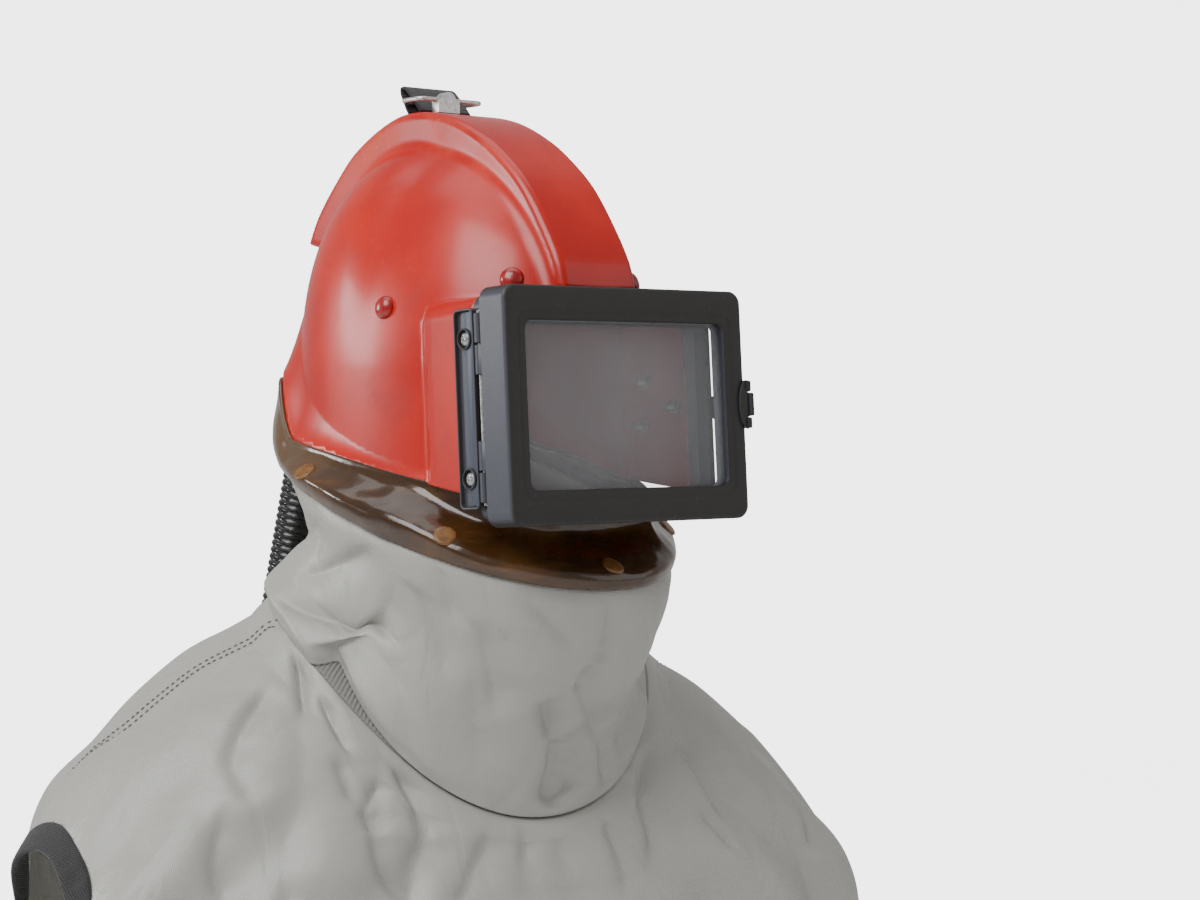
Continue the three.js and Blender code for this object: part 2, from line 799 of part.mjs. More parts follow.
// Sections down the collar: the share of the way from the shell's edge to the collar's lower edge,
// and how far the rubber stands out from its plan there, as a share of the bulge.
const collarSections = [
  { down: 0, out: 0.1 },
  { down: 0.16, out: 0.55 },
  { down: 0.42, out: 0.95 },
  { down: 0.7, out: 1 },
  { down: 0.9, out: 0.75 },
  { down: 1, out: 0.45 },
];
const collarBulge = 8;

// Its upper edge follows the shell's edge, and at the front it drops straight down behind the window
// base before it comes forward under the door.
function collarPoint(angle, down, out) {
  const rim = domePoint(angle, rimHeight(angle), 0, flareAt(angle));
  const behindBase = doorFront - baseBack - 4;
  rim.y = Math.max(rim.y, -behindBase);
  const plan = oval(angle, collarHalfWidth, collarFront, collarRear, collarCentre, 2.1);
  const z = mix(rim.z - clearance, collarBottom(plan.y), down);
  const atFront = smooth(0.3, 0.12, rearness(angle));
  const spread = smooth(mix(0, 0.3, atFront), mix(0.7, 0.92, atFront), down);
  const reach = collarBulge * (out - 1) * spread;
  const radial = plan.clone().sub(new THREE.Vector2(0, collarCentre)).normalize();
  const x = mix(rim.x, plan.x + radial.x * reach, spread);
  const forward = mix(-rim.y, plan.y + radial.y * reach, spread);
  return place(x, forward, z);
}

const studAngles = [0, 52, 96, 140, 180, 220, 264, 308];

function buildCollar() {
  const rows = collarSections.map(({ down, out }) => angles.map((a) => collarPoint(a, down, out)));
  const collar = add("collar", "rubber", walled(rows, collarWall));
  studAngles.forEach((degrees, i) => {
    const angle = THREE.MathUtils.degToRad(degrees);
    const outside = collarPoint(angle, 0.6, 1).multiply(new THREE.Vector3(1.5, 1.5, 1));
    const inward = new THREE.Vector3(-outside.x, -outside.y, 0);
    const stud = lathe(
      [
        [0, 0],
        [studRadius * 0.9, 0],
        [studRadius, studProud * 0.4],
        [studRadius * 0.8, studProud],
        [0, studProud * 1.1],
      ],
      12,
    );
    add("collar_stud_" + (i + 1), "stud", seated(facingOut(stud), collar, outside, inward));
  });
}

// Neck sleeve, band and cape

const torso = new THREE.Matrix4()
  .makeTranslation(0, 0, seamSide)
  .multiply(new THREE.Matrix4().makeRotationZ(torsoTurn))
  .multiply(new THREE.Matrix4().makeRotationY(torsoRoll))
  .multiply(new THREE.Matrix4().makeTranslation(0, 0, -seamSide));

const frontness = (angle) => (1 + Math.cos(angle)) / 2;

function seamPoint(angle, out, up) {
  const plan = oval(angle, seamHalfWidth + out, seamFront + out, seamRear + out, seamCentre, 2.1);
  const z = seamSide - seamDrop * frontness(angle) ** seamFocus + up;
  return place(plan.x, plan.y, z).applyMatrix4(torso);
}

// The sleeve's upper edge is tucked inside the collar's lower lip.
const lipInset = 0.55 * collarBulge + collarWall + sleeveTuck;
const sleeveHalfWidth = collarHalfWidth - lipInset;
const sleeveFront = collarFront - lipInset;
const sleeveRear = collarRear - lipInset;

// Sections down the sleeve between the collar's lower edge and the seam, as shares of its size there.
const sleeveSections = [
  { down: 0, width: 1, front: 1, rear: 1 },
  { down: 0.13, width: 1.045, front: 1.04, rear: 0.96 },
  { down: 0.38, width: 1.02, front: 0.955, rear: 0.8 },
  { down: 0.62, width: 1.01, front: 0.86, rear: 0.74 },
  { down: 0.8, width: 1.06, front: 0.78, rear: 0.74 },
];

// The sleeve's main folds: long dents by angle from the front, their width in radians,
// their depth and the stretch of the sleeve that they cross.
const sleeveFolds = [
  { angle: -62, width: 0.34, depth: 6, from: 0.3, to: 1 },
  { angle: -28, width: 0.2, depth: 4, from: 0.45, to: 1 },
  { angle: 6, width: 0.16, depth: 5, from: 0.5, to: 1 },
  { angle: 34, width: 0.26, depth: 6, from: 0.4, to: 1 },
  { angle: 92, width: 0.3, depth: 6, from: 0.3, to: 0.9 },
  { angle: 150, width: 0.3, depth: 6, from: 0.3, to: 0.9 },
  { angle: -140, width: 0.3, depth: 7, from: 0.3, to: 0.9 },
];

// How deep a table of folds presses in at an angle and a share of the way down.
function foldDepth(folds, angle, down) {
  return folds.reduce((sum, fold) => {
    const centre = THREE.MathUtils.degToRad(fold.angle);
    const apart = Math.atan2(Math.sin(angle - centre), Math.cos(angle - centre)) / fold.width;
    const span = smooth(fold.from, mix(fold.from, fold.to, 0.4), down);
    return sum + fold.depth * Math.exp(-apart * apart) * span;
  }, 0);
}

// At the front the sleeve reaches the seam. Round the sides and back it stops above the band.
const toSeam = (angle) => smooth(0.55, 0.93, frontness(angle));
const overhang = (angle) => mix(bandWidth, 4, toSeam(angle));

function sleeveRows() {
  const lapInside = 7;
  const lower = angles.map((a) => seamPoint(a, mix(-bandReach, 3.5, toSeam(a)), overhang(a) - 3));
  const brim = angles.map((a) => seamPoint(a, mix(2 - bandReach, 6.5, toSeam(a)), overhang(a) + 9));
  const rows = sleeveSections.map((section) =>
    angles.map((a, i) => {
      const plan = oval(
        a,
        sleeveHalfWidth * section.width,
        sleeveFront * section.front,
        sleeveRear * section.rear,
        collarCentre,
        2.1,
      );
      const forwardTop = oval(a, collarHalfWidth, collarFront, collarRear, collarCentre, 2.1).y;
      const top = collarBottom(forwardTop) + lapInside;
      const z = mix(top, lower[i].z, section.down);
      const point = place(plan.x, plan.y, z);
      const toward = smooth(0.35, 1, section.down) * 0.55;
      const free = smooth(0, 0.25, section.down);
      point.x = mix(point.x, lower[i].x, toward);
      point.y = mix(point.y, lower[i].y, toward);
      const press = free * foldDepth(sleeveFolds, a, section.down);
      const inward = new THREE.Vector3(-point.x, -collarCentre - point.y, 0).normalize();
      return point.addScaledVector(inward, press);
    }),
  );
  return [...rows, brim, lower];
}

function bandRows() {
  const levels = [1, 0.5, 0];
  const top = bandWidth + 1;
  return levels.map((level) => {
    const bow = Math.sin(level * Math.PI) * 1.2;
    const lean = level * (bandReach + 8.5);
    return angles.map((a) => seamPoint(a, seatGap + bow - lean, clearance + bandSeat + level * top));
  });
}

// Sections of the cape from the neck seam to the hem. side, front and back are reaches as shares of
// the shoulder half-width, the chest's and the back's. The falls are shares of the way down to the hem.
const capeSections = [
  { side: 0.49, sideFall: 0.047, front: 0.735, frontFall: 0.05, back: 0.66, backFall: 0.04 },
  { side: 0.62, sideFall: 0.108, front: 0.8, frontFall: 0.105, back: 0.73, backFall: 0.09 },
  { side: 0.76, sideFall: 0.195, front: 0.87, frontFall: 0.165, back: 0.8, backFall: 0.145 },
  { side: 0.885, sideFall: 0.3, front: 0.92, frontFall: 0.235, back: 0.87, backFall: 0.21 },
  { side: 0.963, sideFall: 0.385, front: 0.95, frontFall: 0.31, back: 0.93, backFall: 0.28 },
  { side: 0.995, sideFall: 0.465, front: 0.975, frontFall: 0.4, back: 0.97, backFall: 0.37 },
  { side: 1, sideFall: 0.6, front: 1, frontFall: 0.56, back: 1, backFall: 0.53 },
  { side: 0.975, sideFall: 0.78, front: 1, frontFall: 0.77, back: 1.01, backFall: 0.76 },
  { side: 0.94, sideFall: 1, front: 1, frontFall: 1, back: 1, backFall: 1 },
];

const capeFolds = [
  { angle: -75, width: 0.12, depth: 9, from: 0.2, to: 0.7 },
  { angle: -48, width: 0.13, depth: 12, from: 0.12, to: 0.8 },
  { angle: -24, width: 0.11, depth: 11, from: 0.15, to: 0.9 },
  { angle: -2, width: 0.1, depth: 9, from: 0.25, to: 1 },
  { angle: 22, width: 0.11, depth: 11, from: 0.18, to: 0.9 },
  { angle: 46, width: 0.13, depth: 12, from: 0.12, to: 0.8 },
  { angle: 74, width: 0.12, depth: 9, from: 0.2, to: 0.7 },
  { angle: 108, width: 0.14, depth: 10, from: 0.2, to: 0.8 },
  { angle: 140, width: 0.14, depth: 12, from: 0.15, to: 0.9 },
  { angle: 176, width: 0.12, depth: 9, from: 0.2, to: 1 },
  { angle: -144, width: 0.14, depth: 12, from: 0.15, to: 0.9 },
  { angle: -112, width: 0.14, depth: 10, from: 0.2, to: 0.8 },
];

function capePoint(angle, section, down) {
  const square = mix(2.1, 2.6, smooth(0, 0.4, down));
  const fold = foldDepth(capeFolds, angle, down);
  const plan = oval(
    angle,
    shoulderHalfWidth * section.side - fold,
    chestReach * section.front - fold,
    backReach * section.back - fold,
    seamCentre,
    square,
  );
  const sideShare = Math.sin(angle) ** 2;
  const frontOrBack = Math.cos(angle) > 0 ? section.frontFall : section.backFall;
  const fall = mix(frontOrBack, section.sideFall, sideShare);
  const start = seamSide - seamDrop * frontness(angle) ** seamFocus;
  return place(plan.x, plan.y, mix(start, capeHem, fall)).applyMatrix4(torso);
}

function capeRows() {
  const neck = angles.map((a) => seamPoint(a, 0.6, 0));
  const rows = capeSections.map((section, i) => {
    const down = (i + 1) / capeSections.length;
    return angles.map((a) => capePoint(a, section, down));
  });
  return [neck, ...rows];
}

// An oval bar through each shoulder that opens the armhole. Its length runs across the body.
function armholeSolid(side, grow) {
  const shape = new THREE.Shape();
  const tall = armholeTall / 2 + grow;
  const deep = armholeDeep / 2 + grow;
  shape.absellipse(0, 0, deep, tall, 0, 2 * Math.PI, false);
  const reach = shoulderHalfWidth * 0.5;
  const bar = new THREE.ExtrudeGeometry(shape, { depth: reach, bevelEnabled: false, curveSegments: 9 });
  const stand = new THREE.Matrix4().makeBasis(
    new THREE.Vector3(0, -1, 0),
    new THREE.Vector3(0, 0, 1),
    new THREE.Vector3(side, 0, 0),
  );
  bar.applyMatrix4(stand);
  bar.translate(side * shoulderHalfWidth * 0.62, -seamCentre + 8, armholeTop - armholeTall / 2);
  return solid(bar.applyMatrix4(torso));
}

function buildCloth() {
  add("neck_sleeve", "cloth", walled(sleeveRows(), clothWall));
  add("neck_band", "band", walled(bandRows(), bandWall));
  const rows = capeRows();
  const sheet = solid(walled(rows, clothWall));
  const thick = solid(walled(rows, bindingWall, (bindingWall - clothWall) / 2));
  let cape = sheet;
  [-1, 1].forEach((side) => {
    cape = cape.subtract(armholeSolid(side, seatGap));
    const binding = thick.intersect(armholeSolid(side, 0)).subtract(armholeSolid(side, -bindingWidth));
    add("armhole_binding" + (side < 0 ? "_right" : "_left"), "binding", geometryOf(binding));
  });
  add("cape", "cloth", geometryOf(cape));
}

// Carrying strap: a wide webbing loop that leans back on the crest, with a wire bail held by a lug

// The loop's side outline, as forward and upward shares of its length and rise from its front foot.
const strapOutline = [
  { back: 0, up: 0 },
  { back: 0.37, up: 0.95 },
  { back: 0.44, up: 1 },
  { back: 0.52, up: 0.93 },
  { back: 0.33, up: -0.04 },
  { back: 0.27, up: -0.04 },
  { back: 0.46, up: 0.83 },
  { back: 0.44, up: 0.87 },
  { back: 0.41, up: 0.83 },
  { back: 0.065, up: 0 },
];

function buildStrap() {
  const foot = crestBase + crestHeight + clearance;
  const shape = new THREE.Shape(
    strapOutline.map((p) => new THREE.Vector2(strapForward - strapLength * p.back, foot + strapRise * p.up)),
  );
  const band = new THREE.ExtrudeGeometry(shape, { depth: strapWidth, bevelEnabled: false });
  const stand = new THREE.Matrix4().makeBasis(
    new THREE.Vector3(0, -1, 0),
    new THREE.Vector3(0, 0, 1),
    new THREE.Vector3(1, 0, 0),
  );
  band.applyMatrix4(stand).translate(-strapWidth / 2, 0, 0);
  add("crest_strap", "webbing", facingOut(band));

  const bailX = strapWidth / 2 + 5;
  const bailFront = strapForward + lugAhead;
  const bailRise = foot + strapRise * 0.45;
  const outline = roundedRect(2 * bailX, bailLength, 5, 3).map((p) => new THREE.Vector3(p.x, p.y, 0));
  const bail = ringTube(outline, wireRadius, 6);
  bail.translate(0, -bailFront + bailLength / 2, bailRise);
  add("strap_bail", "nickel", bail);

  const lugHalf = lugWidth / 2;
  const lugOutline = new THREE.Shape();
  lugOutline.moveTo(-lugHalf, foot);
  lugOutline.lineTo(lugHalf, foot);
  lugOutline.lineTo(lugHalf, bailRise);
  lugOutline.absarc(0, bailRise, lugHalf * 0.6, 0, Math.PI, false);
  lugOutline.lineTo(-lugHalf, bailRise);
  const lugDepth = 2 * wireRadius + 5;
  const lug = new THREE.ExtrudeGeometry(lugOutline, {
    depth: lugDepth,
    bevelEnabled: false,
    curveSegments: 6,
  });
  lug.rotateX(Math.PI / 2).translate(-lugOffset, -bailFront + lugDepth / 2, 0);
  const bar = lathe([[0, -40], [wireRadius + clearance, -40], [wireRadius + clearance, 40], [0, 40]], 8);
  bar.rotateY(Math.PI / 2).translate(0, -bailFront, bailRise);
  add("strap_lug", "nickel", geometryOf(solid(lug).subtract(solid(bar))));
}

// A closed wire of round section along a flat closed outline.
function ringTube(points, radius, sides) {
  const count = points.length;
  const rows = points.map((point, i) => {
    const next = points[(i + 1) % count];
    const before = points[(i + count - 1) % count];
    const along = next.clone().sub(before).normalize();
    const out = new THREE.Vector3(along.y, -along.x, 0);
    return Array.from({ length: sides }, (_, k) => {
      const a = (2 * Math.PI * (k + 0.5)) / sides;
      const offset = out.clone().multiplyScalar(radius * Math.cos(a));
      return point.clone().add(offset).add(new THREE.Vector3(0, 0, radius * Math.sin(a)));
    });
  });
  return facingOut(gridGeometry(rows, true));
}

// Hose: the socket on the duct, the free hose and its coupling

const hoseRoute = [
  { forward: -209.1, z: -140.2 },
  { forward: -219, z: -171 },
  { forward: -229, z: -204 },
  { forward: -239, z: -237 },
  { forward: -249, z: -270 },
  { forward: -258.5, z: -303 },
  { forward: -266.5, z: -337 },
  { forward: -272.5, z: -371 },
  { forward: -276.5, z: -405 },
  { forward: -278.5, z: -440 },
  { forward: -279, z: -475 },
  { forward: -278.5, z: -510 },
  { forward: -277, z: -545 },
  { forward: -275, z: -580 },
  { forward: -273, z: -615 },
  { forward: -271.5, z: -650 },
  { forward: -270.5, z: -685 },
  { forward: -270, z: -720 },
];

function buildHose() {
  const socket = lathe(
    [
      [ductBore + 1, seatGap],
      [socketRadius, seatGap],
      [socketRadius, socketLength * 0.35],
      [socketRadius - 2, socketLength * 0.45],
      [socketRadius - 2, socketLength - 4],
      [socketRadius - 3, socketLength],
      [ductBore + 1, socketLength],
      [ductBore + 1, seatGap],
    ],
    16,
  );
  add("hose_socket", "frame", turnedTo(facingOut(socket), ductEnd, hoseDirection));
  const start = ductEnd.clone().addScaledVector(hoseDirection, socketLength + seatGap);
  const points = hoseRoute.map((p) => place(0, p.forward, p.z));
  points[0].copy(start);
  add("hose", "hose", facingOut(tubeAlong(points, hoseRadius, 8, 26)));
  const end = points[points.length - 1];
  const down = end.clone().sub(points[points.length - 2]).normalize();
  const coupling = lathe(
    [
      [0, seatGap],
      [hoseRadius + 2.5, seatGap],
      [hoseRadius + 2.5, couplingLength * 0.45],
      [hoseRadius - 2, couplingLength * 0.5],
      [hoseRadius - 2, couplingLength],
      [hoseRadius - 5, couplingLength],
      [hoseRadius - 5, couplingLength * 0.55],
      [0, couplingLength * 0.55],
    ],
    16,
  );
  add("hose_connector", "frame", turnedTo(facingOut(coupling), end, down));
}

const shellMesh = buildShell();
buildWindow();
buildInnerBolts(shellMesh);
buildCollar();
buildCloth();
buildStrap();
buildHose();

export default root;
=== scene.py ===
# Looks of a sandblasting hood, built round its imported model. Shapes are worked out in millimetres.
# +Z is up, the window faces -Y and +X is the wearer's left. "forward" means -Y.
import json

import bmesh
import bpy
import numpy as np
from mathutils import Matrix, Vector

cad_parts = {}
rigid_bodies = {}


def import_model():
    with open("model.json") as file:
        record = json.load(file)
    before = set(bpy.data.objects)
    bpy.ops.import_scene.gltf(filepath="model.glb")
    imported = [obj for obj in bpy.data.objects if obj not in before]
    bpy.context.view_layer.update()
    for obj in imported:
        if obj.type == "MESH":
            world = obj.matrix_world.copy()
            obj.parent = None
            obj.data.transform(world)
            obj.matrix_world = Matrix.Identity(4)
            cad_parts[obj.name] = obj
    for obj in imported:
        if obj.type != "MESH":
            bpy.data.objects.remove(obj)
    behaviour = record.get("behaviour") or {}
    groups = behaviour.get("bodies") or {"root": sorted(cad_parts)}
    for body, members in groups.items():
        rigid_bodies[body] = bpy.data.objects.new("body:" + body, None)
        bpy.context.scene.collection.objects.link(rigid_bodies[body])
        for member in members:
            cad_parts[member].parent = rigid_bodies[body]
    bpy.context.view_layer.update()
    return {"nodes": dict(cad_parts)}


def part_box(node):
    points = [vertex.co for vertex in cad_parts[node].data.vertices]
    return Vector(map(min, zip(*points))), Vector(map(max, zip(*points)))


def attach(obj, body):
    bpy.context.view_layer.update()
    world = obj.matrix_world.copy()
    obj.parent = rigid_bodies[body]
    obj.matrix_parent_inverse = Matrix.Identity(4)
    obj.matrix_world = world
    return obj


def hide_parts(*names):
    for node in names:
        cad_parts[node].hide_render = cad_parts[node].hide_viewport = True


for leftover in list(bpy.data.objects):
    bpy.data.objects.remove(leftover)
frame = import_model()
scene = bpy.context.scene
print("frame loaded:", len(frame["nodes"]), "nodes")

millimetre = 0.001

# camera

camera = {"turn": -38.0, "distance": 1.796, "height": -0.132, "lens": 75.1, "shift": (0.0992, -0.0417)}


def makeCamera(look):
    turn = np.radians(look["turn"])
    eye = bpy.data.cameras.new("camera")
    eye.lens, eye.sensor_width = look["lens"], 36
    eye.shift_x, eye.shift_y = look["shift"]
    eye.clip_end = 20
    holder = bpy.data.objects.new("camera", eye)
    scene.collection.objects.link(holder)
    place = Vector((np.sin(turn), -np.cos(turn), 0)) * look["distance"]
    holder.matrix_world = Matrix.Translation(place + Vector((0, 0, look["height"]))) @ (
        Matrix.Rotation(turn, 4, "Z") @ Matrix.Rotation(np.pi / 2, 4, "X")
    )
    scene.camera = holder


makeCamera(camera)

# small tools


def mix(a, b, t):
    return a + (b - a) * t


def ease(low, high, value):
    # 3t^2 - 2t^3 between low and high, flat outside
    t = np.clip((np.asarray(value, float) - low) / (high - low), 0, 1)
    return t * t * (3 - 2 * t)


def through(rows, at):
    # a cubic that passes every row of a table, at 0 for the first row and 1 for the last
    rows = np.asarray(rows, float)
    place = np.clip(np.asarray(at, float), 0, 1) * (len(rows) - 1)
    k = np.minimum(place.astype(int), len(rows) - 2)
    f = (place - k).reshape(place.shape + (1,) * (rows.ndim - 1))
    a, b = rows[k], rows[k + 1]
    before, after = rows[np.maximum(k - 1, 0)], rows[np.minimum(k + 2, len(rows) - 1)]
    square = 2 * before - 5 * a + 4 * b - after
    cube = 3 * a - 3 * b + after - before
    return 0.5 * (2 * a + (b - before) * f + square * f**2 + cube * f**3)


def unit(v):
    return v / np.maximum(np.linalg.norm(v, axis=-1, keepdims=True), 1e-12)


def point(x, forward, z):
    return np.stack(np.broadcast_arrays(x, -np.asarray(forward, float), z), -1).astype(float)


def waves(p, size, seed, count=24):
    # smooth noise in -1..1: a sum of cosines in random directions, with lengths round size
    rng = np.random.default_rng(seed)
    way = unit(rng.normal(size=(count, 3))) * (2 * np.pi / size) * rng.uniform(0.6, 1.6, (count, 1))
    shift = rng.uniform(0, 2 * np.pi, count)
    return np.cos(p @ way.T + shift).sum(-1) * (1.4 / count**0.5) / 2


def gridFaces(rows, columns, closedRows=False, closedColumns=False):
    # quads between each row and column and the next ones
    i, j = np.meshgrid(
        np.arange(rows - (not closedRows)), np.arange(columns - (not closedColumns)), indexing="ij"
    )
    k, m = (i + 1) % rows, (j + 1) % columns
    return np.stack([i * columns + j, i * columns + m, k * columns + m, k * columns + j], -1).reshape(-1, 4)


def gridNormals(points, closedColumns=False):
    # the cross product of the steps along the columns and along the rows
    if closedColumns:
        along = np.roll(points, -1, 1) - np.roll(points, 1, 1)
    else:
        along = np.gradient(points, axis=1)
    return unit(np.cross(along, np.gradient(points, axis=0)))


class Build:
    # gathers closed parts in one mesh, each turned to face out
    def __init__(self):
        self.points, self.faces, self.count = [], [], 0

    def add(self, points, faces, closed=True):
        points = np.asarray(points, float).reshape(-1, 3)
        faces = [list(f) for f in faces]
        if closed:
            middle = points.mean(0)
            tri = np.array([(f[0], f[k], f[k + 1]) for f in faces for k in range(1, len(f) - 1)])
            a, b, c = (points[tri[:, k]] - middle for k in range(3))
            if np.einsum("ij,ij->", a, np.cross(b, c)) < 0:
                faces = [f[::-1] for f in faces]
        self.points.append(points)
        self.faces += [[v + self.count for v in f] for f in faces]
        self.count += len(points)
        return self

    def grid(self, points, closedRows=False, closedColumns=True, caps=False):
        rows, columns = points.shape[:2]
        faces = gridFaces(rows, columns, closedRows, closedColumns).tolist()
        if caps:
            faces.append(list(range(columns))[::-1])
            faces.append([(rows - 1) * columns + k for k in range(columns)])
        return self.add(points, faces, closed=caps or (closedRows and closedColumns))

    def piece(self, name, body="hood", replaces=(), slot=None, sharp=None):
        mesh = bpy.data.meshes.new(name)
        mesh.from_pydata((np.concatenate(self.points) * millimetre).tolist(), [], self.faces)
        mesh.polygons.foreach_set("use_smooth", [True] * len(mesh.polygons))
        mesh.update()
        made = bpy.data.objects.new(name, mesh)
        scene.collection.objects.link(made)
        return finishPiece(made, body, replaces, sharp)


def finishPiece(made, body, replaces=(), sharp=None):
    if sharp:
        markSharp(made.data, sharp)
    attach(made, body)
    if replaces:
        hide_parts(*replaces)
    print("piece", made.name, len(made.data.polygons), "faces")
    return made


def markSharp(mesh, angle):
    # shading breaks at edges steeper than the angle
    bm = bmesh.new()
    bm.from_mesh(mesh)
    for edge in bm.edges:
        edge.smooth = bool(len(edge.link_faces) == 2 and edge.calc_face_angle(0) < np.radians(angle))
    bm.to_mesh(mesh)
    bm.free()


def copyOfNode(node, name, body, width, angle):
    # the node's own shape as one merged mesh, with rounded edges
    source = frame["nodes"][node]
    mesh = source.data.copy()
    mesh.name = name
    mesh.materials.clear()
    bm = bmesh.new()
    bm.from_mesh(mesh)
    bmesh.ops.remove_doubles(bm, verts=bm.verts, dist=1e-6)
    bmesh.ops.dissolve_limit(bm, angle_limit=np.radians(2), verts=bm.verts, edges=bm.edges)
    for face in bm.faces:
        face.smooth = True
    bm.to_mesh(mesh)
    bm.free()
    made = bpy.data.objects.new(name, mesh)
    scene.collection.objects.link(made)
    finishPiece(made, body, [node], sharp=angle)
    bevel = made.modifiers.new("edges", "BEVEL")
    bevel.width, bevel.segments, bevel.limit_method = width * millimetre, 2, "ANGLE"
    bevel.angle_limit = np.radians(angle)
    return made


def travelAlong(line):
    # the way from the first point to each point of a line
    return np.concatenate([[0], np.cumsum(np.linalg.norm(np.diff(line, axis=0), axis=1))])


def lathe(pairs, sides=32):
    # radius and height pairs turned about +Z
    radius, height = np.array(pairs, float).T
    turn = np.linspace(0, 2 * np.pi, sides, endpoint=False)
    rings = [np.outer(radius, np.cos(turn)), np.outer(radius, np.sin(turn)), np.outer(height, np.ones(sides))]
    return np.stack(rings, -1)


def stood(points, at, normal):
    # local +Z is turned to the normal, and the origin is put at a point
    z = unit(np.asarray(normal, float))
    x = unit(np.cross([0.0, 0, 1] if abs(z[2]) < 0.9 else [0.0, 1, 0], z))
    return np.asarray(at, float) + points @ np.stack([x, np.cross(z, x), z])


def circles(centres, side, up, radii, sides):
    # centre + radius * (side * cos + up * sin) round each point
    turn = np.linspace(0, 2 * np.pi, sides, endpoint=False)
    ring = side[:, None] * np.cos(turn)[None, :, None] + up[:, None] * np.sin(turn)[None, :, None]
    return centres[:, None] + radii * ring


def tube(path, radii, sides=16):
    # a circle carried along a path, level across x where the path allows it
    path = np.asarray(path, float)
    tangent = unit(np.gradient(path, axis=0))
    side = np.tile([1.0, 0, 0], (len(path), 1))
    side = unit(side - tangent * (side * tangent).sum(-1, keepdims=True))
    radii = np.broadcast_to(radii, len(path))[:, None, None]
    return circles(path, side, np.cross(tangent, side), radii, sides)


def sideName(side):
    return "left" if side > 0 else "right"


def nodeCentre(node):
    low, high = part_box(node)
    return np.array((low + high) / 2) / millimetre


# hose

hose = {
    "radius": 17.5,
    "pitch": 5.6,
    "ridge": 1.8,
    "socket": [(17.6, 0), (23, 0), (23.4, 1), (23.4, 3), (22.6, 4.2), (21.4, 5), (21.2, 12), (20.8, 20), (20.8, 25.6),
               (20.3, 27.2), (19.2, 28), (17.9, 28)],
    "inside": [(17.0, 27.0), (17.0, 0.6)],
    "wall": 2.2,
    "start": (-200, -112),
    "direction": (0.306, -0.952),
    "route": [(-209.1, -140.2), (-219, -171), (-229, -204), (-239, -237), (-249, -270), (-258.5, -303),
              (-266.5, -337), (-272.5, -371), (-276.5, -405), (-278.5, -440), (-279, -475), (-278.5, -510),
              (-277, -545), (-275, -580), (-273, -615), (-271.5, -650), (-270.5, -685), (-270, -720)],
}
socketAt = point(0, *hose["start"])
socketWay = unit(np.array([0, -hose["direction"][0], hose["direction"][1]]))


def hosePath(count):
    # evenly spaced points on the curve through the route, in the plane x = 0
    fine = through(hose["route"], np.linspace(0, 1, 4000))
    length = travelAlong(fine)
    at = np.linspace(0, length[-1], count)
    forward, z = (np.interp(at, length, fine[:, k]) for k in range(2))
    return point(0 * at, forward, z), length[-1]


def makeHose():
    # round ridges: radius = middle + ridge * rounded cosine of the length, plain at both ends
    total = hosePath(10)[1]
    count = int(total / hose["pitch"] * 9)
    path, total = hosePath(count)
    at = np.linspace(0, total, count)
    wave = np.cos(at / hose["pitch"] * 2 * np.pi)
    plain = ease(2, 8, at) * ease(2, 8, total - at)
    radii = hose["radius"] - hose["ridge"] * (0.55 - 0.45 * np.sign(wave) * np.abs(wave) ** 0.7) * plain
    outer = tube(path, radii, 40)
    inner = tube(path, radii - hose["wall"], 40)[::-1]
    skin = Build().grid(np.concatenate([outer, inner]), closedRows=True)
    return skin.piece("air_hose", replaces=["hose"], slot="hose"), path, total


def makeSocket():
    rings = stood(lathe(hose["socket"] + hose["inside"], 64), socketAt + socketWay * 0.3, socketWay)
    return Build().grid(rings, closedRows=True).piece("air_socket", replaces=["hose_socket"], slot="coupling", sharp=50)


coupling = {"length": 46, "grip": 20, "neck": 15.5, "bore": 12.5, "ribs": 36}


def makeConnector(end):
    # a knurled ring and a plain spigot, turned about the hose's end
    long = coupling["length"]
    grip, neck, bore = coupling["grip"], coupling["neck"], coupling["bore"]
    cut = long * 0.45
    outer = [(17.7, 0.4), (grip - 1, 0.4), (grip, 1.4), (grip, 3.2), (grip - 0.8, 3.8), (grip - 0.8, 4.4)]
    outer += [(grip, 5.0), (grip, cut - 3), (grip - 0.8, cut - 2.4), (grip - 0.8, cut - 1.8), (grip, cut - 1.2)]
    outer += [(grip - 0.6, cut), (neck + 0.6, cut + 0.4), (neck, cut + 1.4), (neck, long - 9), (neck - 0.9, long - 8.4)]
    outer += [(neck - 0.9, long - 6.4), (neck, long - 5.8), (neck, long - 1), (neck - 0.8, long)]
    inner = [(bore + 0.6, long), (bore, long - 0.8), (bore, long * 0.55)]
    rings = lathe(outer + inner, 144)
    # the grip's flutes
    turn = np.arctan2(rings[..., 1], rings[..., 0])
    flute = ease(4.9, 6.5, rings[..., 2]) * ease(cut - 2.6, cut - 4.4, rings[..., 2])
    depth = 0.9 * flute * (0.5 - 0.5 * np.cos(turn * coupling["ribs"]))
    radial = unit(rings * [1, 1, 0])
    rings = rings - radial * depth[..., None]
    rings = stood(rings, end, [0, 0, -1])
    return Build().grid(rings, caps=True).piece("air_coupling", replaces=["hose_connector"], slot="coupling", sharp=50)


airHose, hoseLine, hoseLength = makeHose()
airSocket = makeSocket()
airCoupling = makeConnector(hoseLine[-1])
(hoseLine[0] * millimetre).tolist()
hoseLength * millimetre
(hoseLine[::8] * millimetre).tolist() + [(hoseLine[-1] * millimetre).tolist()]

# helmet shell

